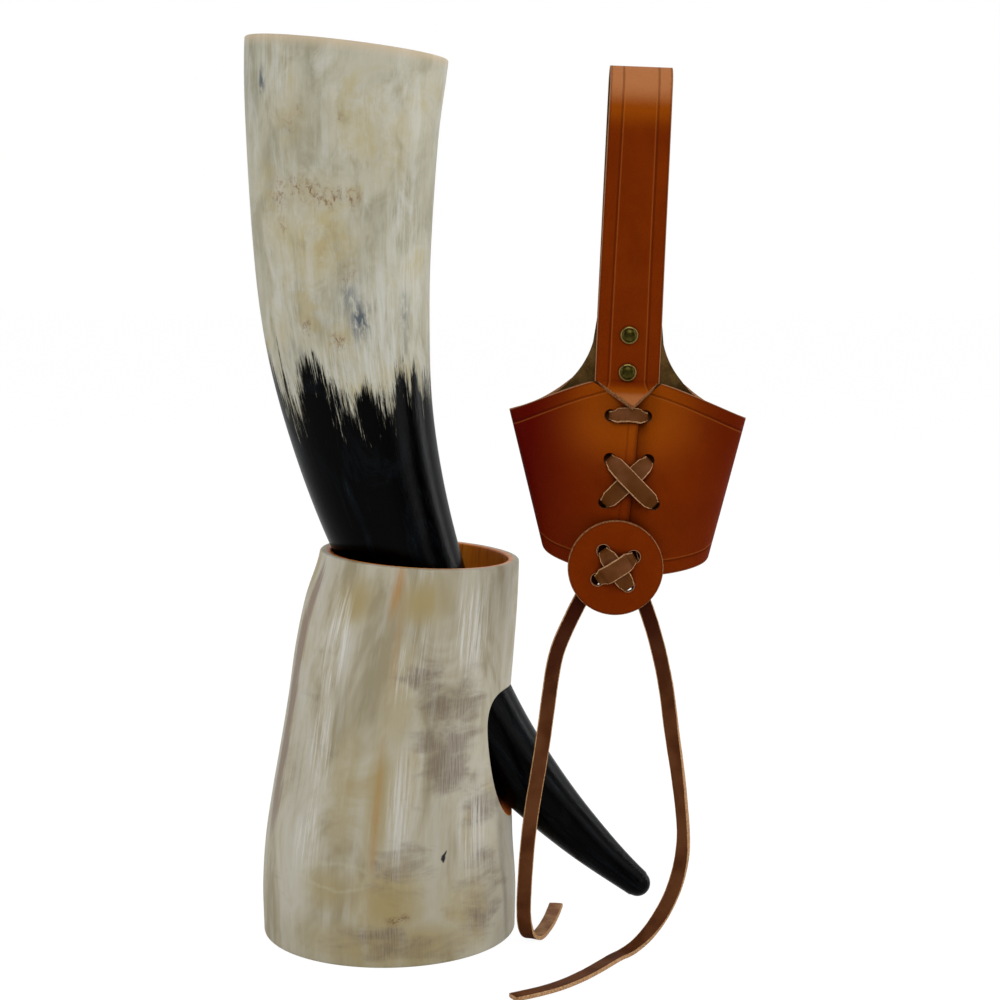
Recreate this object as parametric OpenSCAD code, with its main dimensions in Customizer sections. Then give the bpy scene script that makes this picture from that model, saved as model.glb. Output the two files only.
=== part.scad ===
// Drinking horn, the sawn horn stand that holds it up, and its laced leather belt holder.
// The origin is the middle of the stand's foot on the table, +Z is up, +X is the side to which
// the horn's tip points, and the holder stands beside the stand, a little towards -Y.

/* [Drinking horn] */
// Length of the horn along its middle line
horn_len = 352; // [330:1:375]
// Outer diameter across the mouth
mouth_d = 74; // [68:1:78]
// Thickness of the scraped lip
lip_t = 1.8; // [1.2:0.1:2.6]
// Thickness of the wall at the bottom of the drinking space
root_t = 5; // [3.5:0.5:6.5]
// Depth of the drinking space along the middle line
drink_len = 228; // [190:1:245]
// Diameter of the rounded tip
tip_d = 10; // [7:0.5:12]

/* [Stand] */
// Height of the stand at its middle
stand_h = 144; // [130:1:155]
// Outer diameter of the stand near its foot
stand_d = 96.4; // [90:0.2:104]
// Wall thickness of the stand
stand_t = 4; // [3.4:0.2:5]
// How far the top of the stand leans over towards the tip side
stand_lean = 12.2; // [8:0.2:16]
// Slope of the sawn top in degrees
stand_top_slope = 3.3; // [0:0.1:6]
// Height of the lower edge of the side hole for the horn's tip
sill_h = 45.2; // [42:0.2:48]
// Width of the side hole
hole_w = 45; // [42:0.5:47]
// Turn of the side hole towards the front in degrees
hole_turn = 4; // [0:1:6]

/* [Holder] */
// Thickness of the holder's leather
leather_t = 2.4; // [2:0.1:3]
// Height of the sleeve between its side corners
sleeve_h = 50.2; // [46:0.2:52]
// Width of the sleeve across its upper corners
sleeve_top_w = 85.6; // [76:0.2:92]
// Width of the sleeve across its lower corners
sleeve_bottom_w = 60.6; // [54:0.2:66]
// Depth of the sleeve at its fullest height
sleeve_d = 30.6; // [26:0.2:34]
// How much lower the hem hangs at front and back than at its corners
hem_drop = 6; // [2:0.5:9]
// Width of the overlap where the left side lies on the right side
seam_lap = 3.5; // [2:0.5:5]

/* [Belt strap] */
// Width of the strap at its rivets
strap_w = 23.2; // [20:0.2:26]
// Width of the strap at its fold
strap_fold_w = 22; // [18:0.2:25]
// Height of the fold above the sleeve's lower corners
strap_top = 173; // [150:1:190]
// Height where the strap grows out of the back of the sleeve
strap_root = 83.6; // [82:0.2:90]
// Space inside the belt loop at its fold
loop_gap = 9; // [6:0.5:14]
// Height of the strap's pointed end
point_h = 52.8; // [51:0.2:56]
// Height where the strap's end starts to narrow
shoulder_h = 61.3; // [60:0.1:62]

/* [Rivets] */
// Diameter of a rivet's cap
cap_d = 6.5; // [5:0.1:7]
// Height of a rivet's cap
cap_t = 1.9; // [1.5:0.1:2.5]
// Diameter of a rivet's post
post_d = 2.6; // [2:0.1:3.2]
// Height of the upper rivet above the sleeve's lower corners
rivet_upper_h = 78.3; // [75:0.1:79]
// Height of the lower rivet above the sleeve's lower corners
rivet_lower_h = 64.9; // [64.8:0.1:67]

/* [Lacing] */
// Width of the flat lace
lace_w = 6.3; // [5:0.1:7.5]
// Thickness of the flat lace
lace_t = 1.5; // [1.2:0.1:1.7]
// Diameter of the lace holes
lace_hole_d = 4.4; // [4.2:0.1:5]
// Width of the lace where it is squeezed through a hole
lace_neck_w = 3; // [2.4:0.1:3.2]
// Height of the bar's two holes
bar_h = 49.4; // [48.6:0.2:50]
// Distance between the bar's two holes
bar_w = 12.8; // [11.5:0.1:14]
// Height of the upper holes of the cross
cross_upper_h = 34.4; // [33:0.2:36]
// Distance between the upper holes of the cross
cross_upper_w = 13.8; // [12:0.1:16]
// Height of the lower holes of the cross
cross_lower_h = 19.2; // [18:0.2:21]
// Distance between the lower holes of the cross
cross_lower_w = 17.6; // [16:0.1:19]

/* [Button] */
// Diameter of the leather button
button_d = 34; // [30:0.5:38]
// Thickness of the leather button
button_t = 2.8; // [2.2:0.1:3.4]
// Diameter of the button's four holes
button_hole_d = 4.6; // [4.4:0.1:5.2]
// Distance between the button's holes, sideways
button_hole_w = 11; // [9.5:0.1:12.5]
// Distance between the button's holes, up and down
button_hole_h = 10.4; // [9:0.1:12]
// Turn of the button in degrees, right side down
button_turn = 9; // [0:1:20]

/* [Hidden] */

// One overrun for every cut, and the gaps between pieces that lie on or in each other
overrun = 1;
seat_gap = 0.3;
fit_gap = 0.1;
// The side hole is turned a little and its edge is oval, so it keeps more room in the middle
sill_gap = 0.6;
lintel_gap = 0.4;

// Horn: lean of its middle line from the vertical, and its radius as shares of the mouth's
lean_angle = [-5, -1.5, 0.5, 5.5, 12, 18, 24, 29.5, 38.5, 45.5, 51.5];
radius_share = [1, 0.94, 0.883, 0.819, 0.723, 0.634, 0.543, 0.454, 0.357, 0.243];
horn_sides = 40;
horn_rings = 28;
drink_rings = 13;
spine_steps = 88;
// Length over which the bottom of the drinking space rounds off
bowl_len = 34;

// Stand: radius as shares of the foot's, and sideways shift as shares of stand_lean
stand_radius_share = [0.992, 0.997, 0.972, 0.938, 0.9, 0.865, 0.85, 0.823, 0.772];
stand_shift_share = [0, 0, 0.01, 0.11, 0.235, 0.355, 0.52, 0.735, 1];
stand_sides = 52;
stand_levels = 12;
stand_bevel = 0.7;
// Facets of the side hole's edge, and how many wall thicknesses its cut reaches inwards
hole_sides = 60;
hole_reach = 3;

// Holder: place of the sleeve's lower corners, and lean of the whole holder in degrees
holder_x = 85.5;
holder_y = -20;
holder_z = 148.3;
holder_lean = 2.2;
// The sleeve sits a little to the right of the strap, more so at its hem, which slopes
sleeve_shift_top = 0.9;
sleeve_shift_bottom = 2.6;
hem_slope = -1.4;
hem_low = 1.1;
hem_round = 2;
// Half depth of the open sleeve, and of its front and back at the middle, where the strap
// pinches them, from the lower corners up to the strap's shoulders
open_share = [0.87, 0.95, 1, 0.98, 0.94, 0.87, 0.79, 0.7, 0.62];
front_share = [0.87, 0.95, 1, 0.98, 0.86, 0.6, 0.29, 0.13, 0.11];
back_share = [0.87, 0.95, 1, 1, 0.97, 0.88, 0.7, 0.42];
// Upper edges of the sheet: how its back flares into the strap and its front falls off
flare_power = 1.4;
fall_power = 1.15;
notch_drop = 2;
notch_side = 0.9;
// The overlap rises over this distance beside its edge, which slants across the sleeve
lap_run = 8;
seam_shift_top = 4;
seam_shift_bottom = -1.7;
// Columns of the sheet, as shares of the way from a front edge to the side corner, from the
// side corner to the strap, and across the strap
front_column_share = [0, 0.03, 0.06, 0.1, 0.15, 0.22, 0.32, 0.44, 0.58, 0.72, 0.84, 0.92, 0.965];
back_column_share = [0, 0.035, 0.08, 0.17, 0.32, 0.5, 0.68, 0.82, 0.9, 0.95, 0.98];
strap_column_share = [-1, -0.5, 0, 0.5, 1];
sheet_rows = 13;
knee_share = 0.93;
// Reach of the probe that finds which way the sheet faces
probe = 0.4;
// Rows of the sleeve up to the strap's shoulders, then of the strap up the back, over the fold,
// and along its end
root_row = 10;
climb_rows = 8;
fold_rows = 8;
end_rows = 4;
// How far the pointed end of the strap leans out over the lacing, per unit of height, and
// how far the point lies to the right
end_slope = 0.95;
end_shift = 2;

// Lace: how it enters a hole, how far the bar arches, and the points along a strand
hole_entry = 0.6;
bar_arch = 1;
lace_bevel = 0.35;
strand_share = [0.24, 0.36, 0.5, 0.64, 0.76];
inner_steps = 10;

// Button: its middle, sideways and up from the sleeve's lower corners
button_u = -2.1;
button_w = -3.6;

// Routes of the two lace tails, from the holes behind the button down to the table
left_route = [
    [79, -29.3, 151.5], [79, -32.6, 151.5], [78.8, -34.5, 149.6], [78, -34.8, 146],
    [75, -34.8, 140], [71.5, -34.8, 133.5], [66.5, -34, 123], [62.5, -32.8, 113],
    [60.3, -31, 99], [58.5, -29.2, 84], [56.3, -27.2, 68], [53.8, -25.3, 52],
    [52.2, -23.7, 37], [51.3, -22, 22], [51, -21, 12], [51.5, -20.6, 6.5],
    [53, -20, 2.6], [55.6, -17.5, 0.95], [58, -11, 0.8], [60.5, -1.5, 0.8],
    [62.5, 9, 0.8], [64.2, 20, 0.8]];
right_route = [
    [89.6, -29.9, 149.3], [89.6, -32.6, 149.3], [89.7, -34.5, 147.4], [90.2, -34.8, 144],
    [91.6, -34.8, 138], [94, -34.8, 131], [97.2, -34.6, 121.5], [100.2, -34.1, 110],
    [102.4, -33.7, 99], [104.3, -33.2, 84.5], [106.7, -32.6, 69.5], [108.6, -32.1, 54],
    [109.3, -31.9, 45], [109, -31.7, 37.5], [107.4, -31.6, 29], [104.5, -31.6, 20.5],
    [100.3, -31.6, 12.5], [95.3, -31.9, 5.8], [90.5, -33, 1.8], [86, -37, 0.8],
    [81.5, -43.5, 0.8], [76.4, -51.4, 0.8], [68, -62.5, 0.8], [59.3, -70.9, 0.8],
    [46.7, -78.5, 0.8]];
// Which way the lace's face looks at the top and on the table, and between which points it turns
left_faces = [[0, -1, 0], [0, 0, -1], 14, 17];
right_faces = [[0, -1, 0], [0, 0, 1], 13, 19];

// Blends between two values, straight or eased
function mix(a, b, t) = a + (b - a) * t;
function clamp(t) = min(max(t, 0), 1);
function ease(t) = (1 - cos(180 * clamp(t))) / 2;
function unit(v) = v / norm(v);

// A smooth curve through evenly spaced values, for t from 0 to 1
function smooth(table, t) =
    let (n = len(table) - 1)
    let (k = clamp(t) * n)
    let (i = min(floor(k), n - 1))
    let (f = k - i)
    let (a = table[max(i - 1, 0)], b = table[i], c = table[i + 1], d = table[min(i + 2, n)])
    b + f * (c - a) / 2 + f * f * (a - 2.5 * b + 2 * c - d / 2)
        + f * f * f * ((d - a) / 2 + 1.5 * (b - c));

// Outward faces between two rings of points, given where each ring starts in the list
function ring_faces(ring_a, ring_b, sides) = [
    for (i = [0:sides - 1])
        let (j = (i + 1) % sides)
        each [[ring_a + i, ring_b + j, ring_a + j], [ring_a + i, ring_b + i, ring_b + j]]];

// A closed skin over rings of equal count, drawn together to one point at each end
module skin(rings, first, last) {
    sides = len(rings[0]);
    count = len(rings);
    total = sides * count;
    polyhedron(
        points = concat([for (ring = rings) each ring], [first, last]),
        faces = concat(
            [for (k = [0:count - 2]) each ring_faces(k * sides, (k + 1) * sides, sides)],
            [for (i = [0:sides - 1]) [total, i, (i + 1) % sides]],
            [for (i = [0:sides - 1]) [total + 1, total - sides + (i + 1) % sides, total - sides + i]]));
}

// A skin that goes round a hole: its last ring joins its first again
module loop_skin(rings) {
    sides = len(rings[0]);
    count = len(rings);
    polyhedron(
        points = [for (ring = rings) each ring],
        faces = [for (k = [0:count - 1]) each ring_faces(k * sides, ((k + 1) % count) * sides, sides)]);
}

// Drinking horn: distances run from the mouth to the tip along the middle line
horn_radii = [for (share = radius_share) share * mouth_d / 2];
function horn_lean(s) = smooth(lean_angle, s / horn_len);
function horn_radius(s) = smooth([each horn_radii, tip_d / 2], s / horn_len);
spine_step = horn_len / spine_steps;
spine_lean = [for (i = [0:spine_steps - 1]) horn_lean((i + 0.5) * spine_step)];
spine = [
    for (i = 0, p = [0, 0]; i <= spine_steps;
         p = p + spine_step * [sin(spine_lean[min(i, spine_steps - 1)]), -cos(spine_lean[min(i, spine_steps - 1)])],
         i = i + 1) p];
spine_x = [for (i = [0:spine_steps]) [i * spine_step, spine[i].x]];
spine_z = [for (i = [0:spine_steps]) [i * spine_step, spine[i].y]];

// The belly is the horn's lower outline, which rests on the stand with a gap
function belly(s, gap) =
    [lookup(s, spine_x), lookup(s, spine_z)]
    - (horn_radius(s) + gap) * [cos(horn_lean(s)), sin(horn_lean(s))];
rim_belly = [for (i = [0:spine_steps]) belly(i * spine_step, seat_gap)];
sill_belly = [for (i = [0:spine_steps]) belly(i * spine_step, sill_gap)];
rim_x_at_s = [for (i = [0:spine_steps]) [i * spine_step, rim_belly[i].x]];
rim_z_at_s = [for (i = [0:spine_steps]) [i * spine_step, rim_belly[i].y]];
sill_x_at_s = [for (i = [0:spine_steps]) [i * spine_step, sill_belly[i].x]];
sill_s_at_z = [for (i = [0:spine_steps]) [sill_belly[i].y, i * spine_step]];

// Stand: radius and sideways shift for t from 0 at the foot to 1 at the top
function stand_radius(t) = smooth(stand_radius_share, t) * stand_d / 2;
function stand_shift(t) = smooth(stand_shift_share, t) * stand_lean;
function stand_ring(t, inset, drop) =
    let (r = stand_radius(t) - inset, slope = t * stand_top_slope)
    [for (i = [0:stand_sides - 1])
        let (a = 360 * i / stand_sides)
        [stand_shift(t) + r * cos(a) * cos(slope), r * sin(a),
         t * stand_h - drop - r * cos(a) * sin(slope)]];

// The horn touches the stand at the rim's inner edge and at the side hole's sill
rim_r = stand_radius(1) - stand_t;
rim_point = [stand_lean - rim_r * cos(stand_top_slope), stand_h + rim_r * sin(stand_top_slope)];
function wall_x(h) = stand_shift(h / stand_h) + stand_radius(h / stand_h);
sill_point = [wall_x(sill_h), sill_h];
seat_run = sill_point.x - rim_point.x;
seat_drop = rim_point.y - sill_point.y;
function seat_miss(s) =
    let (sill_s = lookup(lookup(s, rim_z_at_s) - seat_drop, sill_s_at_z))
    lookup(sill_s, sill_x_at_s) - lookup(s, rim_x_at_s) - seat_run;
function seat_search(low, high, turns) =
    let (s = (low + high) / 2)
    turns == 0 ? s
    : seat_miss(s) < 0 ? seat_search(s, high, turns - 1)
    : seat_search(low, s, turns - 1);
seat_s = seat_search(0, horn_len / 1.4, 24);
horn_at = rim_point - [lookup(seat_s, rim_x_at_s), lookup(seat_s, rim_z_at_s)];

function horn_point(s) =
    [horn_at.x + lookup(s, spine_x), 0, horn_at.y + lookup(s, spine_z)];
function horn_ring(s, r) =
    let (at = horn_point(s), lean = horn_lean(s))
    [for (i = [0:horn_sides - 1])
        let (a = 360 * i / horn_sides)
        at + r * [cos(a) * cos(lean), sin(a), cos(a) * sin(lean)]];

// Side hole: its lower edge is the sill, and its upper edge is cut to suit the horn's upper side
lintel_line = [
    for (i = [0:spine_steps])
        let (s = mix(seat_s, horn_len, i / spine_steps))
        [horn_point(s).x, horn_point(s).z]
        + (horn_radius(s) + lintel_gap) * [cos(horn_lean(s)), sin(horn_lean(s))]];
belly_line = [
    for (i = [0:spine_steps])
        let (s = mix(seat_s, horn_len, i / spine_steps))
        horn_at + belly(s, sill_gap + fit_gap)];
hole_out = [sill_point.x, lookup(sill_point.x, lintel_line), sill_point.y];
hole_in_x = sill_point.x - stand_t;
hole_in = [hole_in_x, lookup(hole_in_x, lintel_line), lookup(hole_in_x, belly_line)];
hole_side = sill_point.x * sin(hole_turn) * 2 / hole_w;
function hole_ring(t) =
    let (at = mix(hole_out, hole_in, t))
    let (half = (at[1] - at[2]) / 2 / sqrt(1 - hole_side * hole_side))
    [for (i = [0:hole_sides - 1])
        let (a = 360 * i / hole_sides)
        [at.x, hole_w / 2 * cos(a), (at[1] + at[2]) / 2 + half * sin(a)]];
function drink_radius(s) = horn_radius(s) - mix(lip_t, root_t, s / drink_len);

// Horn, from the tip up the outside, over the rounded lip, and down to the drinking space's end
tip_r = tip_d / 2;
lip_r = lip_t / 2;
bowl_start = drink_len - bowl_len;
tip_rings = [for (a = [22.5, 45, 67.5]) horn_ring(horn_len - tip_r * (1 - cos(a)), tip_r * sin(a))];
outside_rings = [
    for (i = [0:horn_rings])
        let (s = mix(horn_len - tip_r, lip_r, i / horn_rings))
        horn_ring(s, horn_radius(s))];
lip_rings = [
    for (a = [45, 90, 135])
        horn_ring(lip_r * (1 - sin(a)), horn_radius(0) - lip_r + lip_r * cos(a))];
inside_rings = [
    for (i = [0:drink_rings])
        let (s = mix(lip_r, bowl_start, i / drink_rings))
        horn_ring(s, drink_radius(s))];
bowl_rings = [
    for (a = [20:20:80])
        let (s = bowl_start + bowl_len * sin(a))
        horn_ring(s, drink_radius(s) * cos(a))];

module horn_cup() {
    color("ivory")
        skin(
            concat(tip_rings, outside_rings, lip_rings, inside_rings, bowl_rings),
            horn_point(horn_len), horn_point(drink_len));
}

// Stand: a sawn tube of horn with its edges broken, and the side hole drilled into it
module stand() {
    levels = [for (i = [0:stand_levels]) mix(stand_bevel, stand_h - stand_bevel, i / stand_levels) / stand_h];
    color("antiquewhite")
        difference() {
            loop_skin(concat(
                [stand_ring(0, stand_bevel, 0)],
                [for (t = levels) stand_ring(t, 0, 0)],
                [stand_ring(1, stand_bevel, 0)],
                [stand_ring(1, stand_t, 0)],
                [for (i = [stand_levels:-1:0]) stand_ring(levels[i], stand_t, 0)],
                [stand_ring(0, stand_t, 0)]));
            rotate([0, 0, -hole_turn])
                skin(
                    [hole_ring(hole_reach), hole_ring(0), hole_ring(-hole_reach / 2)],
                    [hole_out.x + hole_reach * (hole_in_x - hole_out.x), 0, (hole_out[1] + hole_out[2]) / 2],
                    [hole_out.x - hole_reach / 2 * (hole_in_x - hole_out.x), 0, (hole_out[1] + hole_out[2]) / 2]);
        }
}

// Holder: everything on it is drawn upright, sideways from the strap's middle, in depth from
// the holder's middle, and up from the sleeve's lower corners, and then leans as a whole
module hung() {
    translate([holder_x, holder_y, holder_z])
        rotate([0, holder_lean, 0])
            children();
}

full_depth = (sleeve_d - leather_t) / 2;
layer_depth = (leather_t + seat_gap) / 2;
strap_half = strap_w / 2;
function sleeve_shift(w) = mix(sleeve_shift_bottom, sleeve_shift_top, min(w / sleeve_h, 1));
function sleeve_half(w) =
    (mix(sleeve_bottom_w, sleeve_top_w, min(w / sleeve_h, 1)) - leather_t) / 2;
function seam_side(w) = mix(seam_shift_bottom, seam_shift_top, min(w / sleeve_h, 1));

// Half depth of the sleeve's sheet at a turn of the section, where 0 is the right corner
function sleeve_depth(turn, w) =
    let (t = w / shoulder_h, pinch = sin(turn) * sin(turn))
    let (middle = sin(turn) < 0 ? smooth(front_share, t) : smooth([each back_share, layer_depth / full_depth], t))
    full_depth * mix(smooth(open_share, t), middle, pinch);

// The left side rises over the overlap and the right side sinks under it
function lap_lift(side, u, w) =
    let (edge = side < 0 ? seam_side(w) : seam_side(w) - seam_lap)
    -side * layer_depth * (1 - ease((abs(u - edge) - seam_lap) / lap_run));

// Turn of a column of the sheet at a height: front right, back right, strap, back left, front left
strap_last = len(strap_column_share) - 1;
function front_turn(side, share, w) =
    let (edge = side < 0 ? seam_side(w) : seam_side(w) - seam_lap)
    let (start = side * asin(edge / sleeve_half(w)) - 90)
    start * (1 - share);
function strap_turn(share, w) = acos((share * strap_half - sleeve_shift(w)) / sleeve_half(w));
columns = concat(
    [for (share = front_column_share) ["right front", share]],
    [for (share = back_column_share) ["right back", share]],
    [for (i = [strap_last:-1:0]) ["strap", strap_column_share[i]]],
    [for (i = [len(back_column_share) - 1:-1:0]) ["left back", back_column_share[i]]],
    [for (i = [len(front_column_share) - 1:-1:0]) ["left front", front_column_share[i]]]);
first_strap = len(front_column_share) + len(back_column_share);
function column_turn(column, w) =
    column[0] == "right front" ? front_turn(1, column[1], w)
    : column[0] == "right back" ? strap_turn(1, w) * column[1]
    : column[0] == "strap" ? strap_turn(column[1], w)
    : column[0] == "left back" ? 180 - (180 - strap_turn(-1, w)) * column[1]
    : 180 - front_turn(-1, column[1], w);

// A point of the sheet's middle surface, and the way straight out of the sheet there
function sheet_at(column, turn, w) =
    let (u = sleeve_half(w) * cos(turn))
    let (side = column[0] == "left front" ? -1 : column[0] == "right front" ? 1 : 0)
    let (climb = (sleeve_depth(turn, w + probe) - sleeve_depth(turn, w - probe)) / (2 * probe))
    let (lift = side == 0 ? 0 : lap_lift(side, u, w) * norm([1, climb]))
    [u + sleeve_shift(w), sin(turn) * sleeve_depth(turn, w) - lift, w];
function sheet_point(column, w) = sheet_at(column, column_turn(column, w), w);
function sheet_out(column, w) =
    let (turn = column_turn(column, w))
    unit(cross(
        sheet_at(column, turn + 1, w) - sheet_at(column, turn - 1, w),
        sheet_at(column, turn, w + probe) - sheet_at(column, turn, w - probe)));

// Lower and upper edge of the sheet for each column
function hem_height(column) =
    let (turn = column_turn(column, 0))
    let (side = abs(sin(turn)))
    sleeve_half(0) * cos(turn) * tan(hem_slope) - hem_low - hem_drop * pow(side, 1.5)
        + hem_round * pow(1 - side, 6);
notch_half = strap_half + notch_side;
notch_h = point_h - notch_drop;
function front_height(side, u) =
    let (edge = (side < 0 ? seam_side(sleeve_h) : seam_side(sleeve_h) - seam_lap) + sleeve_shift_top)
    side * u < notch_half
        ? mix(notch_h, shoulder_h, clamp((side * (u - edge)) / (notch_half - side * edge)))
        : mix(shoulder_h, sleeve_h,
            pow((side * u - notch_half) / (sleeve_half(sleeve_h) + side * sleeve_shift_top - notch_half), fall_power));
function back_height(side, u) =
    mix(strap_root, sleeve_h,
        1 - pow(1 - sqrt(clamp((side * u - strap_half) / (sleeve_half(sleeve_h) + side * sleeve_shift_top - strap_half))),
            flare_power));
function top_height(column) =
    let (u = sheet_point(column, sleeve_h).x)
    column[0] == "right front" ? front_height(1, u)
    : column[0] == "left front" ? front_height(-1, u)
    : column[0] == "right back" ? back_height(1, u)
    : column[0] == "left back" ? back_height(-1, u)
    : strap_root;

// Rows of a column run from hem to upper edge, with one near the edge or at the strap's shoulders
function sheet_height(column, row) =
    let (low = hem_height(column), high = top_height(column))
    let (knee = min(shoulder_h, mix(low, high, knee_share)))
    row <= root_row ? mix(low, knee, row / root_row)
    : mix(knee, high, (row - root_row) / (sheet_rows - root_row));

// Middle line of the strap, in depth and height: up the back, over the fold, down to its end
fold_r = (loop_gap + leather_t) / 2;
fold_h = strap_top - fold_r - leather_t / 2;
end_start = mix(shoulder_h, strap_root, 0.02);
function loop_depth(h) = mix(layer_depth, fold_r, ease((h - strap_root) / (fold_h - strap_root)));
strap_line = concat(
    [for (i = [1:climb_rows]) let (h = mix(strap_root, fold_h, i / climb_rows)) [loop_depth(h), h]],
    [for (i = [1:fold_rows]) let (a = 180 * i / fold_rows) [fold_r * cos(a), fold_h + fold_r * sin(a)]],
    [for (i = [climb_rows - 1:-1:0]) let (h = mix(strap_root, fold_h, i / climb_rows)) [-loop_depth(h), h]],
    [[-layer_depth, mix(shoulder_h, strap_root, 0.5)], [-layer_depth, end_start]]);
function strap_point(share, row) =
    let (last = len(strap_line))
    let (at = strap_line[min(row, last) - 1])
    let (past = max(row - last, 0) / end_rows)
    let (h = past > 0 ? mix(end_start, mix(point_h, shoulder_h, abs(share)), past) : at[1])
    let (drop = past > 0 ? max(shoulder_h - h, 0) : 0)
    let (half = mix(strap_half, strap_fold_w / 2, clamp((h - strap_root) / (fold_h - strap_root))))
    [share * half + end_shift * drop / (shoulder_h - point_h), at[0] - end_slope * drop, h];

// The whole sheet as a grid of middle points: columns of the sleeve, then rows of the strap
strap_rows = len(strap_line) + end_rows;
function middle_point(i, row) =
    row <= sheet_rows ? sheet_point(columns[i], sheet_height(columns[i], row))
    : strap_point(strap_column_share[strap_last - (i - first_strap)], row - sheet_rows);
function in_strap(i) = i >= first_strap && i <= first_strap + strap_last;
function last_row(i) = in_strap(i) ? sheet_rows + strap_rows : sheet_rows;
last_column = len(columns) - 1;
grid = [for (i = [0:last_column]) [for (row = [0:last_row(i)]) middle_point(i, row)]];
function grid_along(i, row) = grid[i][min(row + 1, last_row(i))] - grid[i][row - 1];
function grid_out(i, row) =
    row <= sheet_rows ? sheet_out(columns[i], grid[i][row].z)
    : let (along = grid_along(i, row)) unit([0, along.z, -along.y]);

// Each grid point gives one point on the grain side and one on the flesh side
column_start = [for (i = 0, n = 0; i <= last_column; n = n + 2 * (last_row(i) + 1), i = i + 1) n];
function grain(i, row) = column_start[i] + 2 * row;
function flesh(i, row) = grain(i, row) + 1;
function four(a, b, c, d) = [[a, b, c], [a, c, d]];
function side_faces(i, from, to, turned) = [
    for (row = [from:to - 1])
        each turned
            ? four(grain(i, row), flesh(i, row), flesh(i, row + 1), grain(i, row + 1))
            : four(grain(i, row), grain(i, row + 1), flesh(i, row + 1), flesh(i, row))];
function cell_faces(i, row) = concat(
    four(grain(i, row), grain(i, row + 1), grain(i + 1, row + 1), grain(i + 1, row)),
    four(flesh(i, row), flesh(i + 1, row), flesh(i + 1, row + 1), flesh(i, row + 1)));
function end_faces(i, row) = four(grain(i, row), flesh(i, row), flesh(i + 1, row), grain(i + 1, row));
function foot_faces(i) = four(grain(i, 0), grain(i + 1, 0), flesh(i + 1, 0), flesh(i, 0));

module leather_sheet() {
    polyhedron(
        points = [
            for (i = [0:last_column])
                for (row = [0:last_row(i)])
                    for (side = [1, -1]) grid[i][row] + side * grid_out(i, row) * leather_t / 2],
        faces = concat(
            [for (i = [0:last_column - 1]) for (row = [0:min(last_row(i), last_row(i + 1)) - 1])
                each cell_faces(i, row)],
            [for (i = [0:last_column - 1]) each foot_faces(i)],
            [for (i = [0:last_column - 1]) each end_faces(i, min(last_row(i), last_row(i + 1)))],
            side_faces(0, 0, sheet_rows, true),
            side_faces(last_column, 0, sheet_rows, false),
            side_faces(first_strap, sheet_rows, sheet_rows + strap_rows, true),
            side_faces(first_strap + strap_last, sheet_rows, sheet_rows + strap_rows, false)));
}

// Lace holes, sideways from the sleeve's middle and up
bar_holes = [[-bar_w / 2, bar_h], [bar_w / 2, bar_h]];
upper_holes = [[-cross_upper_w / 2, cross_upper_h], [cross_upper_w / 2, cross_upper_h]];
lower_holes = [[-cross_lower_w / 2, cross_lower_h], [cross_lower_w / 2, cross_lower_h]];
function on_sleeve(p) = [p.x + sleeve_shift(p.y), p.y];
function button_hole(across, up) =
    let (u = across * button_hole_w / 2, w = up * button_hole_h / 2)
    [button_u + u * cos(button_turn) + w * sin(button_turn),
     button_w - u * sin(button_turn) + w * cos(button_turn)];
sleeve_holes = [
    for (p = concat(bar_holes, upper_holes, lower_holes)) on_sleeve(p),
    button_hole(-1, 1), button_hole(1, 1)];

module leather_holder() {
    color("saddlebrown")
        hung()
            difference() {
                leather_sheet();
                for (p = sleeve_holes)
                    translate([p.x, 0, p.y])
                        rotate([90, 0, 0])
                            cylinder(h = sleeve_d, d = lace_hole_d, $fn = 32);
                for (h = [rivet_upper_h, rivet_lower_h])
                    translate([0, sleeve_d / 2, h])
                        rotate([90, 0, 0])
                            cylinder(h = sleeve_d, d = post_d + 2 * fit_gap, $fn = 32);
            }
}

// Rivets: a domed cap in front, and a post with a flat base behind
rivet_face = layer_depth + leather_t / 2;
socket_t = cap_t / 2;
module rivet_cap(h) {
    color("peru")
        hung()
            translate([0, -rivet_face, h])
                rotate([90, 0, 0])
                    difference() {
                        union() {
                            cylinder(h = cap_t / 3, d = cap_d, $fn = 48);
                            intersection() {
                                translate([0, 0, cap_t - dome_r])
                                    sphere(r = dome_r, $fn = 64);
                                cylinder(h = cap_t, d = cap_d, $fn = 48);
                            }
                        }
                        translate([0, 0, -overrun])
                            cylinder(h = socket_t + overrun, d = post_d + 2 * fit_gap, $fn = 32);
                    }
}
// The dome meets the cap's edge a third of the way up
dome_rise = cap_t * 2 / 3;
dome_r = (cap_d * cap_d / 4 + dome_rise * dome_rise) / (2 * dome_rise);

module rivet_post(h) {
    color("peru")
        hung()
            translate([0, rivet_face + fit_gap, h])
                rotate([90, 0, 0]) {
                    translate([0, 0, -cap_t / 2])
                        cylinder(h = cap_t / 2, d = cap_d, $fn = 48);
                    cylinder(h = 2 * rivet_face + socket_t - fit_gap, d = post_d, $fn = 32);
                }
}

module rivet_cap_upper() { rivet_cap(rivet_upper_h); }
module rivet_cap_lower() { rivet_cap(rivet_lower_h); }
module rivet_post_upper() { rivet_post(rivet_upper_h); }
module rivet_post_lower() { rivet_post(rivet_lower_h); }

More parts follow.
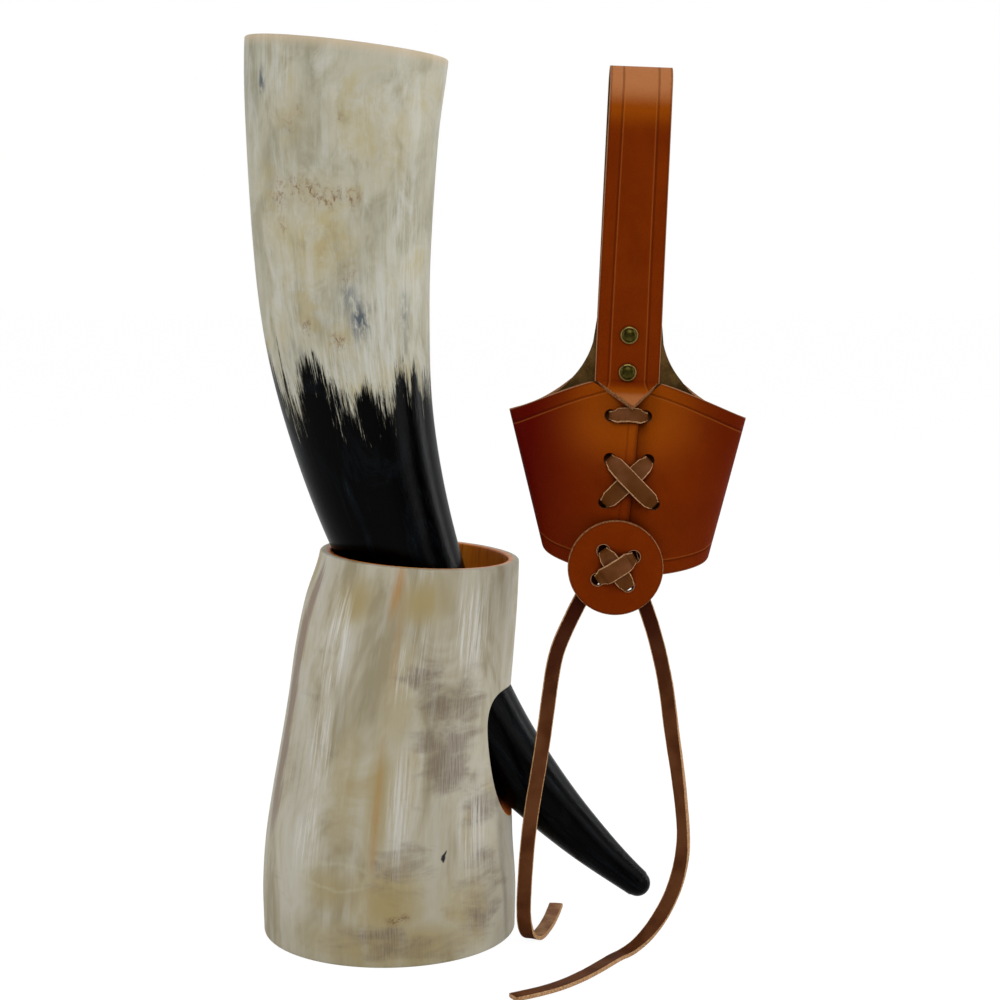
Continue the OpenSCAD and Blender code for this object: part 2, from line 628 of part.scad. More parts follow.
// A flat lace along a path, with its half width at each point and the way its width points
function lace_section(half, thick, bevel) =
    let (b = min(bevel, thick / 2))
    [[half, thick - b], [half - b, thick], [b - half, thick], [-half, thick - b],
     [-half, b - thick], [b - half, -thick], [half - b, -thick], [half, b - thick]];
function path_along(path, k) = unit(path[min(k + 1, len(path) - 1)] - path[max(k - 1, 0)]);
function lace_rings(path, halves, wides) = [
    for (k = [0:len(path) - 1])
        let (along = path_along(path, k))
        let (wide = unit(wides[k] - along * (wides[k] * along)))
        let (face = cross(along, wide))
        [for (p = lace_section(halves[k], lace_t / 2, lace_bevel)) path[k] + wide * p.x + face * p.y]];
module lace(path, halves, wides) {
    skin(lace_rings(path, halves, wides), path[0], path[len(path) - 1]);
}

// Depth of the front of the sleeve's sheet, and what a strand keeps from it
function front_middle(p) =
    let (turn = -acos((p.x - sleeve_shift(p.y)) / sleeve_half(p.y)))
    sin(turn) * sleeve_depth(turn, p.y);
panel_half = leather_t / 2 + layer_depth;
lace_off = seat_gap + lace_t / 2;

// The way across a strand, lying flat on a surface whose depth is given for each place
function flat_on(face, p, way) =
    let (across = [way.y, -way.x], at = [p.x, p.z])
    [across.x, (face(at + across) - face(at - across)) / 2, across.y];

// A strand that comes out of one hole, lies on the front and goes into the other hole
neck = lace_neck_w / 2;
wide_half = lace_w / 2;
module strand(a, b, face, behind, lift, arch) {
    way = unit(b - a);
    from = a + way * hole_entry;
    to = b - way * hole_entry;
    length = norm(to - from);
    steps = [0, 0, lace_t / 3, lace_t * 1.1];
    starts = [behind, -lace_t / 5, -lace_off * 0.8, -lace_off];
    half_list = [neck, neck, neck, mix(neck, wide_half, 0.6)];
    middle = [
        for (t = strand_share)
            let (at = from + way * length * t + [0, arch * sin(180 * t)])
            [at.x, face(at) - lace_off - lift * min(1, 1.15 * sin(180 * t)), at.y]];
    head = [
        for (k = [0:3])
            let (at = from + way * steps[k])
            [at.x, face(at) + starts[k], at.y]];
    foot = [
        for (k = [3:-1:0])
            let (at = to - way * steps[k])
            [at.x, face(at) + starts[k], at.y]];
    widths = concat(half_list, [for (t = strand_share) wide_half], [for (k = [3:-1:0]) half_list[k]]);
    path = concat(head, middle, foot);
    lace(path, widths, [for (p = path) flat_on(face, p, way)]);
}

// The front of the sleeve as strands see it, where the overlap is thickest
sleeve_face = function (p) front_middle(p) - panel_half;
behind_panel = 2 * panel_half - seat_gap;
module front_strand(a, b, lift, arch) {
    hung()
        strand(on_sleeve(a), on_sleeve(b), sleeve_face, behind_panel, lift, arch);
}

// A run behind the panel, from one hole to another and a little past both
module inner_run(a, b) {
    way = unit(b - a);
    from = a - way * lace_w / 2;
    to = b + way * lace_w / 2;
    path = [
        for (i = [0:inner_steps])
            let (at = mix(from, to, i / inner_steps))
            [at.x, front_middle(at) + panel_half + seat_gap + lace_off, at.y]];
    hung()
        lace(path, [for (p = path) wide_half], [for (p = path) flat_on(sleeve_face, p, way)]);
}

over_lift = lace_t + 2.6 * seat_gap;
lace_color = "sienna";
module lace_bar() {
    color(lace_color)
        front_strand(bar_holes[0], bar_holes[1], lace_t / 3, bar_arch);
}
module lace_inner_upper() {
    color(lace_color)
        for (i = [0, 1]) inner_run(on_sleeve(bar_holes[i]), on_sleeve(upper_holes[i]));
}
module lace_cross_under() {
    color(lace_color)
        front_strand(upper_holes[1], lower_holes[0], 0, 0);
}
module lace_cross_over() {
    color(lace_color)
        front_strand(upper_holes[0], lower_holes[1], over_lift, 0);
}
module lace_inner_lower() {
    color(lace_color)
        for (i = [0, 1]) inner_run(on_sleeve(lower_holes[i]), button_hole(2 * i - 1, 1));
}

// Button: a thick leather disc with four holes, and the crossed strands in front of it
module button_disc() {
    color("saddlebrown")
        hung()
            translate([0, button_back, 0])
                rotate([90, 0, 0])
                    difference() {
                        translate([button_u, button_w, 0])
                            cylinder(h = button_t, d = button_d, $fn = 96);
                        for (across = [-1, 1], up = [-1, 1])
                            translate([each button_hole(across, up), -overrun])
                                cylinder(h = button_t + 2 * overrun, d = button_hole_d, $fn = 32);
                    }
}
button_back = -(full_depth + rivet_face + seat_gap);
button_face = function (p) button_back - button_t;
module button_strand(across, lift) {
    hung()
        strand(button_hole(across, 1), button_hole(-across, -1), button_face, button_t, lift, 0);
}
module button_lace_under() {
    color(lace_color)
        button_strand(-1, 0);
}
module button_lace_over() {
    color(lace_color)
        button_strand(1, over_lift);
}

// Tails: the free ends of the lace, which hang from behind the button and lie on the table
module tail(route, faces) {
    count = len(route);
    turns = [for (k = [0:count - 1]) clamp((k - faces[2]) / (faces[3] - faces[2]))];
    looks = [for (t = turns) unit(mix(faces[0], faces[1], t))];
    wides = [for (k = [0:count - 1]) cross(path_along(route, k), looks[k])];
    halves = [for (k = [0:count - 1]) mix(neck, wide_half, clamp((k - 1) / 3))];
    lace(route, halves, [for (k = [0:count - 1]) k < 3 ? [-1, 0, 0] : wides[k]]);
}
module tail_left() {
    color(lace_color)
        tail(left_route, left_faces);
}
module tail_right() {
    color(lace_color)
        tail(right_route, right_faces);
}

horn_cup();
stand();
leather_holder();
rivet_cap_upper();
rivet_cap_lower();
rivet_post_upper();
rivet_post_lower();
lace_bar();
lace_inner_upper();
lace_cross_under();
lace_cross_over();
lace_inner_lower();
button_disc();
button_lace_under();
button_lace_over();
tail_left();
tail_right();
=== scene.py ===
# A drinking horn in its horn stand, with the laced leather belt holder beside it.
# Lengths are in millimetres until a mesh is made, and angles in degrees.
import math

import bmesh
import bpy
import numpy as np
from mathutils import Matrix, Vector
from mathutils.kdtree import KDTree


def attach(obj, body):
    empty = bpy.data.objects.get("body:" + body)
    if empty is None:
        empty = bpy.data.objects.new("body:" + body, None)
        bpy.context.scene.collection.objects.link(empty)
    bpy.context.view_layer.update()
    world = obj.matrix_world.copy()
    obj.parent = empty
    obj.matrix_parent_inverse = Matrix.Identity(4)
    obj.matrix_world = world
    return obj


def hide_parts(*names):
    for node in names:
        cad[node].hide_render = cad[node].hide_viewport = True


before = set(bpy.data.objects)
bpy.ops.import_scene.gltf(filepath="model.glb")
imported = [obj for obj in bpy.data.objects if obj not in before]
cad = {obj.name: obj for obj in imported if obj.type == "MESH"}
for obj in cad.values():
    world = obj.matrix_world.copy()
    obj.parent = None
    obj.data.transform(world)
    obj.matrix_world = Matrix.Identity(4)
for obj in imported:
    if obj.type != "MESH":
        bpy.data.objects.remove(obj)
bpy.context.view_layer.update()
scene = bpy.context.scene
MM = 0.001

# ---------------------------------------------------------------- camera and light
lens = bpy.data.cameras.new("camera")
lens.lens = 73.58
lens.sensor_width = 36
lens.clip_start = 0.02
camera = bpy.data.objects.new("camera", lens)
camera.location = (0.0422, -0.7563, 0.2632)
camera.rotation_euler = (math.radians(82.53), 0, 0)
scene.collection.objects.link(camera)
scene.camera = camera
scene.view_settings.view_transform = "Standard"


def lamp(name, place, aim, size, power):
    light = bpy.data.lights.new(name, "AREA")
    light.shape = "RECTANGLE"
    light.size, light.size_y = size
    light.energy = power
    holder = bpy.data.objects.new(name, light)
    holder.location = place
    holder.rotation_euler = (Vector(aim) - Vector(place)).to_track_quat("-Z", "Y").to_euler()
    scene.collection.objects.link(holder)


lamp("key", (0.15, -1.15, 0.95), (0.03, 0, 0.17), (0.7, 0.7), 6.0)
lamp("left", (-1.0, -0.45, 0.45), (0.0, 0, 0.17), (0.5, 1.1), 4.2)
lamp("right", (1.05, -0.4, 0.5), (0.03, 0, 0.17), (0.5, 1.1), 4.2)
lamp("strip", (1.0, 0.42, 0.35), (0.0, 0, 0.2), (0.1, 0.9), 2.5)
lamp("top", (0.0, 0.05, 1.1), (0.03, 0, 0.1), (0.9, 0.9), 1.6)


class Nodes:
    """A node tree that is built node by node, each with its first inputs filled."""

    def __init__(self, tree):
        self.tree = tree
        tree.nodes.clear()

    def put(self, socket, value):
        if isinstance(value, bpy.types.NodeSocket):
            self.tree.links.new(value, socket)
        else:
            socket.default_value = value

    def node(self, kind, *inputs, **settings):
        made = self.tree.nodes.new("ShaderNode" + kind)
        for key, value in settings.items():
            setattr(made, key, value)
        for socket, value in zip(made.inputs, inputs):
            self.put(socket, value)
        return made

    def step(self, kind, *inputs, **settings):
        """The first output of a new node."""
        return self.node(kind, *inputs, **settings).outputs[0]

    def math(self, operation, *values):
        return self.step("Math", *values, operation=operation)

    def span(self, value, low, high, to_low=0.0, to_high=1.0):
        """Takes the span from low to high smoothly to another one."""
        return self.step("MapRange", value, low, high, to_low, to_high, interpolation_type="SMOOTHSTEP")

    def part(self, vector, axis):
        return self.node("SeparateXYZ", vector).outputs[axis]


WHITE = (1, 1, 1, 1)
world = bpy.data.worlds.new("studio")
world.use_nodes = True
scene.world = world
sky = Nodes(world.node_tree)
ray = sky.node("LightPath").outputs
shown = sky.math("MAXIMUM", ray["Is Camera Ray"], ray["Is Transmission Ray"])
# The studio is dim towards the front and bright behind the object
depth = sky.part(sky.node("TexCoord").outputs["Generated"], "Y")
studio = sky.step("Background", WHITE, sky.span(depth, -0.25, 0.45, 0.2, 0.8))
backdrop = sky.step("Background", WHITE, 1)
sky.node("OutputWorld", sky.step("MixShader", shown, studio, backdrop))


# ---------------------------------------------------------------- materials
def rgb(red, green, blue):
    """A screen colour, 0 to 255, as a linear one."""
    return tuple(((v / 255 + 0.055) / 1.055) ** 2.4 if v > 10 else v / 3294 for v in (red, green, blue)) + (1,)


class Look(Nodes):
    """A material whose colour is laid on in procedural layers. Colours are given from 0 to 255."""

    def __init__(self, name, grain=None):
        self.material = bpy.data.materials.new(name)
        self.material.use_nodes = True
        super().__init__(self.material.node_tree)
        self.surface = self.node("BsdfPrincipled")
        self.out = self.node("OutputMaterial", self.surface.outputs[0])
        self.grain = self.field(grain, "Vector") if grain else None
        self.colour = None

    def times(self, a, b):
        return self.math("MULTIPLY", a, b)

    def plus(self, a, share, b):
        """b with a share of a added."""
        return self.math("MULTIPLY_ADD", a, share, b)

    def sway(self, value, noise, much):
        """Moves a value up and down by a noise that is even around a half."""
        return self.plus(self.math("SUBTRACT", noise, 0.5), much, value)

    def off(self, value, middle):
        """How far a value is from the middle."""
        return self.math("ABSOLUTE", self.math("SUBTRACT", value, middle))

    def field(self, name, output="Fac"):
        return self.node("Attribute", attribute_name=name).outputs[output]

    def place(self):
        """Where a point is on its piece, in millimetres."""
        return self.stretch(self.node("TexCoord").outputs["Object"], (1000, 1000, 1000))

    def stretch(self, vector, scale, shift=(0, 0, 0)):
        return self.step("Mapping", vector, shift, (0, 0, 0), scale)

    def noise(self, vector, scale, detail, roughness, distortion=0.0):
        made = self.node("TexNoise", vector)
        settings = {"Scale": scale, "Detail": detail, "Roughness": roughness, "Distortion": distortion}
        for key, value in settings.items():
            made.inputs[key].default_value = value
        return made.outputs[0]

    def fibres(self, along, scale, detail, roughness, distortion=0.0, shift=(0, 0, 0)):
        """Noise that is drawn out along the grain, more so the smaller along is."""
        return self.noise(self.stretch(self.grain, (1, 1, along), shift), scale, detail, roughness, distortion)

    def cells(self, vector, scale):
        made = self.node("TexVoronoi", vector)
        made.inputs["Scale"].default_value = scale
        return made.outputs["Distance"]

    def ramp(self, value, *stops):
        made = self.node("ValToRGB", value)
        marks = made.color_ramp.elements
        while len(marks) < len(stops):
            marks.new(0.5)
        for mark, (at, *colour) in zip(marks, stops):
            mark.position, mark.color = at, rgb(*colour)
        return made.outputs[0]

    def over(self, factor, colour):
        """Lays a colour, or the output of a ramp, over the surface."""
        made = self.node("Mix", factor, data_type="RGBA")
        self.put(made.inputs[6], self.colour)
        self.put(made.inputs[7], rgb(*colour) if isinstance(colour, tuple) else colour)
        self.colour = made.outputs[2]

    def stain(self, value, low, high, colour, much=1.0):
        """Lays a colour over the surface where the value is high, much of it at most."""
        self.over(self.span(value, low, high, 0, much), colour)

    def done(self, roughness, height=None, depth=0.1, **constants):
        """Sets the surface. The height is in shares of the depth, and the depth in millimetres."""
        self.put(self.surface.inputs["Base Color"], self.colour)
        self.put(self.surface.inputs["Roughness"], roughness)
        if height is not None:
            bump = self.node("Bump", 1, depth * MM)
            self.put(bump.inputs["Height"], height)
            self.put(self.surface.inputs["Normal"], bump.outputs[0])
        for key, value in constants.items():
            self.surface.inputs[key.replace("_", " ").title().replace("Ior", "IOR")].default_value = value
        return self.material


def horn_outside():
    look = Look("polished horn", "fibre")
    patches = look.fibres(0.7, 0.04, 4, 0.6, 0.5)
    smear = look.fibres(0.5, 0.1, 6, 0.62, 0.8, (0, 31, 0))
    bands = look.fibres(0.3, 0.12, 5, 0.62, 0.6, (40, 0, 7))
    streaks = look.fibres(0.08, 0.8, 5, 0.65)
    fine = look.fibres(0.05, 3.0, 3, 0.6)
    look.colour = look.ramp(
        patches, (0.34, 150, 147, 128), (0.45, 168, 164, 143), (0.56, 181, 177, 158), (0.68, 176, 165, 128))
    look.stain(smear, 0.46, 0.66, (144, 138, 112), 0.6)
    look.stain(bands, 0.5, 0.66, (198, 197, 188), 0.5)
    look.stain(streaks, 0.5, 0.7, (140, 136, 120), 0.14)
    look.stain(fine, 0.5, 0.7, (210, 208, 198), 0.1)
    # Whitish fibres that gather above the black part
    thread = look.span(look.fibres(0.07, 0.6, 5, 0.7, shift=(0, 9, 0)), 0.42, 0.62)
    look.over(look.times(look.field("pale"), thread), (194, 194, 184))
    ochre = look.times(look.field("ochre"), look.span(look.noise(look.grain, 0.2, 5, 0.65), 0.34, 0.6))
    look.over(look.times(ochre, 0.75), (170, 154, 110))
    smudge = look.span(look.fibres(0.3, 0.5, 5, 0.65, 0.6), 0.36, 0.6)
    look.over(look.times(look.field("blue"), smudge), (74, 84, 94))
    flecks = look.fibres(0.7, 0.75, 5, 0.72, 0.5)
    pits = look.times(look.span(flecks, 0.52, 0.62), look.field("pits"))
    look.over(look.times(look.span(flecks, 0.3, 0.6, 0, 0.4), look.field("pits")), (160, 136, 98))
    look.over(look.times(pits, 0.85), (118, 86, 54))
    # The black part, whose edge runs out in flames along the fibres
    flame = look.fibres(0.08, 0.3, 4, 0.6, 0.3, (3, 5, 0))
    hair = look.fibres(0.09, 1.0, 6, 0.78, 0.3, (0, 4, 0))
    reach = look.field("dark")
    for noise, much in ((flame, 30.0), (hair, 53.0), (fine, 24.0)):
        reach = look.sway(reach, noise, much)
    dark = look.span(reach, -7.0, 6.0)
    cloud = look.fibres(0.4, 0.07, 6, 0.7, 0.8, (9, 0, 0))
    look.over(dark, look.ramp(cloud, (0.5, 0, 0, 0), (0.62, 6, 10, 14), (0.76, 34, 46, 52)))
    look.over(look.times(look.field("lip"), 0.6), (206, 184, 154))
    rough = look.plus(streaks, 0.12, look.span(dark, 0, 1, 0.34, 0.12))
    height = look.math("ADD", look.times(streaks, 0.5), look.times(fine, 0.25))
    height = look.plus(smear, 0.8, look.math("SUBTRACT", height, pits))
    return look.done(rough, height, 0.1, ior=1.54, specular_ior_level=0.04)


def horn_inside():
    look = Look("scraped horn inside", "fibre")
    streaks = look.fibres(0.12, 0.6, 5, 0.65)
    look.colour = look.ramp(
        look.fibres(0.5, 0.05, 3, 0.6), (0.3, 168, 150, 116), (0.55, 204, 190, 158), (0.75, 190, 164, 118))
    look.stain(streaks, 0.45, 0.7, (140, 124, 96), 0.5)
    look.over(look.span(look.sway(look.field("dark"), streaks, 60.0), -16, 12), (30, 27, 24))
    look.over(look.field("lip"), (226, 190, 158))
    rings = look.noise(look.stretch(look.grain, (0.2, 0.2, 1)), 1.2, 3, 0.6)
    return look.done(look.plus(streaks, 0.3, 0.35), rings, 0.15, ior=1.54)


def stand_outside():
    look = Look("raw horn stand", "fibre")
    patches = look.fibres(0.5, 0.045, 4, 0.6, 0.6, (5, 0, 0))
    bands = look.fibres(0.08, 0.15, 4, 0.6, 0.35, (0, 20, 0))
    streaks = look.fibres(0.06, 1.1, 5, 0.7, shift=(0, 0, 3))
    fine = look.fibres(0.03, 3.4, 3, 0.65)
    waves = look.noise(look.stretch(look.grain, (0.5, 0.5, 1.1), (2, 6, 0)), 0.11, 5, 0.6, 0.4)
    look.colour = look.ramp(
        patches, (0.36, 148, 138, 112), (0.46, 170, 162, 140), (0.56, 182, 177, 160), (0.68, 166, 152, 118))
    look.stain(bands, 0.46, 0.62, (186, 182, 169), 0.55)
    look.over(look.times(look.field("yellow"), look.span(bands, 0.3, 0.56, 0.45, 1)), (158, 142, 98))
    cloud = look.sway(look.field("mottle"), waves, 2.4)
    mottle = look.times(look.span(cloud, 0.15, 0.9), look.span(fine, 0.36, 0.62, 1, 0.5))
    look.over(look.times(mottle, 0.85), (112, 98, 86))
    # The taupe field paints the horn's own taupe patches on the back, and painted shade as a band down the left edge
    ragged = look.sway(look.sway(look.field("taupe"), bands, 0.9), streaks, 1.2)
    look.stain(ragged, 0.25, 0.9, (126, 106, 92), 0.8)
    # Whitish scratches where fibres have lifted
    lifted = look.sway(look.field("lifted"), patches, 1.0)
    streak = look.fibres(0.035, 0.9, 6, 0.75, shift=(4, 0, 3))
    look.over(look.times(look.span(streak, 0.46, 0.6, 0, 0.85), look.span(lifted, 0, 0.8)), (208, 206, 198))
    look.stain(fine, 0.54, 0.72, (136, 126, 108), 0.2)
    look.over(look.times(look.field("amber"), look.span(fine, 0.3, 0.6, 0.45, 0.8)), (164, 116, 46))
    crack = look.span(look.off(look.fibres(1.3, 0.55, 3, 0.6, 2.0), 0.5), 0.0, 0.055, 1, 0)
    crack = look.times(crack, look.field("crack"))
    look.over(crack, (134, 70, 34))
    ring = look.sway(look.off(look.sway(look.field("ring"), waves, 1.5), 0.5), streaks, 0.5)
    look.over(look.span(ring, 0.03, 0.2, 0.2, 0), (190, 186, 162))
    spot = look.span(look.field("speck"), 0.45, 0.75)
    look.over(spot, (34, 32, 40))
    height = look.math("ADD", look.times(streaks, 0.7), look.times(fine, 0.5))
    height = look.math("SUBTRACT", height, look.math("ADD", crack, spot))
    return look.done(look.plus(streaks, 0.35, 0.34), height, 0.14, ior=1.54, specular_ior_level=0.15)


def stand_inside():
    look = Look("amber horn wall", "fibre")
    streaks = look.fibres(0.08, 0.5, 5, 0.65)
    look.colour = look.ramp(
        look.fibres(0.5, 0.06, 3, 0.6), (0.3, 184, 92, 14), (0.5, 208, 118, 24), (0.72, 222, 150, 52))
    look.stain(streaks, 0.46, 0.7, (140, 64, 10), 0.5)
    # Next to the outside the wall is as pale as its skin
    look.over(look.span(look.field("skin"), 0.4, 2.8, 1, 0), (204, 186, 140))
    return look.done(look.plus(streaks, 0.3, 0.26), streaks, 0.2, ior=1.54)


def leather_grain():
    look = Look("cognac leather")
    place = look.place()
    edge, seam, glow = look.field("edge"), look.field("seam"), look.field("glow")
    blotch = look.noise(look.stretch(place, (1, 1, 1), (7, 3, 1)), 0.22, 4, 0.6)
    pores = look.cells(place, 1.9)
    wrinkle = look.noise(place, 1.1, 5, 0.6)
    look.colour = look.ramp(
        look.noise(place, 0.05, 5, 0.6, 0.3), (0.34, 106, 37, 0), (0.5, 112, 40, 0), (0.66, 117, 43, 0))
    look.stain(blotch, 0.4, 0.65, (104, 36, 0), 0.2)
    # Partly the leather's dye and partly painted shade: darker and redder towards the sides
    look.over(look.field("shade"), (80, 6, 0))
    # Painted highlight where the glow field is set, paler still on the strap's end and fold
    look.stain(glow, 0, 1, (140, 64, 3))
    look.stain(glow, 1, 2, (176, 112, 68))
    look.over(look.span(pores, 0.0, 0.35, 0.3, 0), (66, 18, 0))
    look.over(look.span(look.math("ADD", edge, look.times(wrinkle, 0.8)), 0.75, 1.5, 0.5, 0), (74, 24, 4))
    # Painted shadow along the edge of the lapped seam
    look.over(look.span(seam, 0.2, 1.6, 0.5, 0), (58, 14, 0))
    # Painted shade: darkened in the corners under the lace and the strap end, where ambient occlusion finds them
    corner = look.node("AmbientOcclusion", WHITE, 5 * MM, samples=8).outputs["AO"]
    look.over(look.span(corner, 0.3, 0.85, 0.75, 0), (54, 10, 0))
    look.over(look.span(edge, 0.1, 0.4, 0.65, 0), (170, 126, 92))
    # Creased lines that follow the edges and the seam, with painted shade in the groove and a painted highlight on
    # the ridge beside it
    groove = look.span(look.off(edge, 4.75), 0.12, 0.5, 1, 0)
    ridge = look.span(look.off(edge, 5.35), 0.08, 0.42, 1, 0)
    groove = look.math("MAXIMUM", groove, look.span(look.off(seam, 3.6), 0.1, 0.5, 0.6, 0))
    look.over(look.times(groove, 0.4), (56, 10, 0))
    look.over(look.times(ridge, 0.22), (186, 106, 46))
    height = look.plus(wrinkle, 0.3, look.times(pores, 0.25))
    height = look.math("SUBTRACT", height, look.times(groove, 1.2))
    height = look.plus(ridge, 0.35, height)
    return look.done(look.plus(blotch, 0.25, 0.38), height, 0.18, ior=1.48, specular_ior_level=0.02)


def leather_flesh(name, dark, light):
    look = Look(name)
    place = look.place()
    nap = look.noise(place, 1.6, 6, 0.7, 0.6)
    look.colour = rgb(*dark)
    look.over(look.span(look.noise(place, 0.12, 4, 0.6), 0.35, 0.65), light)
    look.stain(nap, 0.5, 0.7, light, 0.5)
    return look.done(0.9, nap, 0.35, sheen_weight=0.05, sheen_roughness=0.5, specular_ior_level=0.05)


def cut_edge(name, dark, light):
    look = Look(name)
    place = look.place()
    fibres = look.noise(place, 5.0, 4, 0.7, 0.8)
    look.colour = rgb(*dark)
    look.over(look.span(look.noise(look.stretch(place, (1, 1.6, 1)), 1.3, 5, 0.7), 0.36, 0.62), light)
    look.stain(fibres, 0.52, 0.7, (96, 58, 34), 0.6)
    return look.done(0.8, fibres, 0.25, specular_ior_level=0.1)


def lace_grain(name, dark, light, painted_shade=None):
    look = Look(name, "strip")
    along = look.noise(look.stretch(look.grain, (1, 0.22, 1)), 1.5, 5, 0.65)
    pores = look.cells(look.stretch(look.grain, (1, 0.7, 1)), 2.4)
    cloud = look.noise(look.stretch(look.grain, (0.5, 0.6, 1), (3, 0, 0)), 0.12, 3, 0.5)
    look.colour = rgb(*dark)
    look.stain(cloud, 0.3, 0.7, light)
    look.stain(along, 0.5, 0.75, light, 0.15)
    look.over(look.span(pores, 0, 0.35, 0.2, 0), dark)
    across = look.math("ABSOLUTE", look.part(look.grain, "X"))
    look.over(look.span(look.plus(along, 0.25, across), 2.9, 3.1, 0, 0.3), (160, 114, 76))
    if painted_shade:
        # Painted shade: a hanging end is darker towards its knot, higher up
        look.over(look.span(look.part(look.place(), "Z"), 78, 138, 0, 0.9), painted_shade)
    else:
        look.over(look.span(look.part(look.grain, "Y"), 4, 17, 0, 0.75), dark)
    height = look.plus(along, 0.6, look.times(pores, 0.3))
    return look.done(look.plus(along, 0.3, 0.34), height, 0.12, ior=1.48, specular_ior_level=0.04)


def old_brass():
    look = Look("antique brass")
    place = look.place()
    stain = look.noise(place, 1.1, 5, 0.65, 0.5)
    rub = look.noise(look.stretch(place, (1, 1, 1), (4, 2, 9)), 3.0, 4, 0.6)
    look.colour = look.ramp(stain, (0.4, 50, 44, 14), (0.6, 68, 61, 24), (0.75, 92, 82, 42))
    look.over(look.times(look.field("rim"), 0.6), (158, 132, 78))
    return look.done(look.plus(rub, 0.2, 0.2), rub, 0.015, metallic=1.0)


HORN_LOOKS = [horn_outside(), horn_inside()]
STAND_LOOKS = [stand_outside(), stand_inside(), cut_edge("horn cut wall", (170, 74, 16), (214, 118, 44))]
LEATHER = leather_grain()
FLESH = leather_flesh("leather flesh side", (66, 46, 16), (98, 74, 38))
EDGE = cut_edge("leather cut edge", (104, 54, 22), (164, 116, 74))
LACE = lace_grain("lace grain side", (74, 38, 0), (136, 86, 58))
LACE_EDGE = cut_edge("lace cut edge", (160, 112, 74), (206, 166, 122))
LACE_FLESH = leather_flesh("lace flesh side", (126, 84, 54), (166, 124, 88))
# The last colour is painted shade towards the knots
TAIL = lace_grain("lace tail grain side", (70, 34, 12), (98, 58, 32), (44, 5, 0))
BRASS = old_brass()

ground = Look("floor")
ground.colour = (0.86, 0.86, 0.86, 1)
ground.done(0.9, specular_ior_level=0.1)
share = ground.times(ground.node("LightPath").outputs["Is Camera Ray"], 0.88)
glow = ground.step("Emission", WHITE, 1.075)
ground.put(ground.out.inputs[0], ground.step("MixShader", share, ground.surface.outputs[0], glow))
floor_mesh = bpy.data.meshes.new("floor")
floor_mesh.from_pydata([(-6, -6, 0), (6, -6, 0), (6, 6, 0), (-6, 6, 0)], [], [(0, 1, 2, 3)])
floor_mesh.materials.append(ground.material)
floor = bpy.data.objects.new("floor", floor_mesh)
scene.collection.objects.link(floor)


# ---------------------------------------------------------------- shape helpers
def dsin(a):
    return np.sin(np.radians(a))


def dcos(a):
    return np.cos(np.radians(a))


def dacos(x):
    return np.degrees(np.arccos(np.clip(x, -1, 1)))


def mix(a, b, t):
    return a + (b - a) * t


def clamp(t):
    return np.clip(t, 0, 1)


def ease(t):
    return (1 - dcos(180 * clamp(t))) / 2


def unit(v):
    v = np.asarray(v, float)
    return v / np.linalg.norm(v, axis=-1, keepdims=True)


def smooth(table, t):
    """A smooth curve through evenly spaced values, for t from 0 to 1."""
    table = np.asarray(table, float)
    n = len(table) - 1
    k = clamp(t) * n
    i = np.minimum(np.floor(k).astype(int), n - 1)
    f = k - i
    a, b = table[np.maximum(i - 1, 0)], table[i]
    c, d = table[i + 1], table[np.minimum(i + 2, n)]
    return b + f * (c - a) / 2 + f * f * (a - 2.5 * b + 2 * c - d / 2) + f**3 * ((d - a) / 2 + 1.5 * (b - c))


def distances(points):
    """How far along the line through them each point lies."""
    return np.concatenate([[0], np.cumsum(np.linalg.norm(np.diff(points, axis=0), axis=1))])


def refine(points, per):
    """A smooth curve through the points, with so many steps between two of them."""
    points = np.asarray(points, float)
    chord = distances(points)
    slopes = np.gradient(points, chord, axis=0)
    t = np.linspace(0, 1, per, endpoint=False)[:, None]
    out = []
    for i in range(len(points) - 1):
        h = chord[i + 1] - chord[i]
        out.append(
            (2 * t**3 - 3 * t**2 + 1) * points[i] + (t**3 - 2 * t**2 + t) * slopes[i] * h
            + (3 * t**2 - 2 * t**3) * points[i + 1] + (t**3 - t**2) * slopes[i + 1] * h)
    return np.concatenate(out + [points[-1:]])


def paint(mesh, fields):
    for name, values in fields.items():
        values = np.asarray(values, np.float32)
        vector = values.ndim == 2
        made = mesh.attributes.new(name, "FLOAT_VECTOR" if vector else "FLOAT", "POINT")
        made.data.foreach_set("vector" if vector else "value", values.ravel())


def solid(name, points, faces, looks, index=None, fields=None):
    """A smooth closed mesh, its faces turned outwards."""
    mesh = bpy.data.meshes.new(name)
    mesh.from_pydata((np.asarray(points) * MM).tolist(), [], [tuple(f) for f in faces])
    for look in looks:
        mesh.materials.append(look)
    if index is not None:
        mesh.polygons.foreach_set("material_index", np.asarray(index, np.int32))
    mesh.polygons.foreach_set("use_smooth", np.ones(len(mesh.polygons), bool))
    work = bmesh.new()
    work.from_mesh(mesh)
    bmesh.ops.recalc_face_normals(work, faces=work.faces)
    work.to_mesh(mesh)
    work.free()
    paint(mesh, fields or {})
    made = bpy.data.objects.new(name, mesh)
    scene.collection.objects.link(made)
    return made


def tube(rings, ends=None, loop=False):
    """Points and quads over rings of equal count, either closed with two end points or a loop."""
    rings = np.asarray(rings)
    count, sides = rings.shape[:2]
    start = np.arange(sides)
    after = (start + 1) % sides
    faces = []
    for k in range(count if loop else count - 1):
        a, b = k * sides, ((k + 1) % count) * sides
        faces += np.stack([a + start, a + after, b + after, b + start], 1).tolist()
    points = rings.reshape(-1, 3)
    if ends is not None:
        last = (count - 1) * sides
        total = count * sides
        points = np.concatenate([points, ends])
        faces += [(total, i, (i + 1) % sides) for i in range(sides)]
        faces += [(total + 1, last + (i + 1) % sides, last + i) for i in range(sides)]
    return points, faces


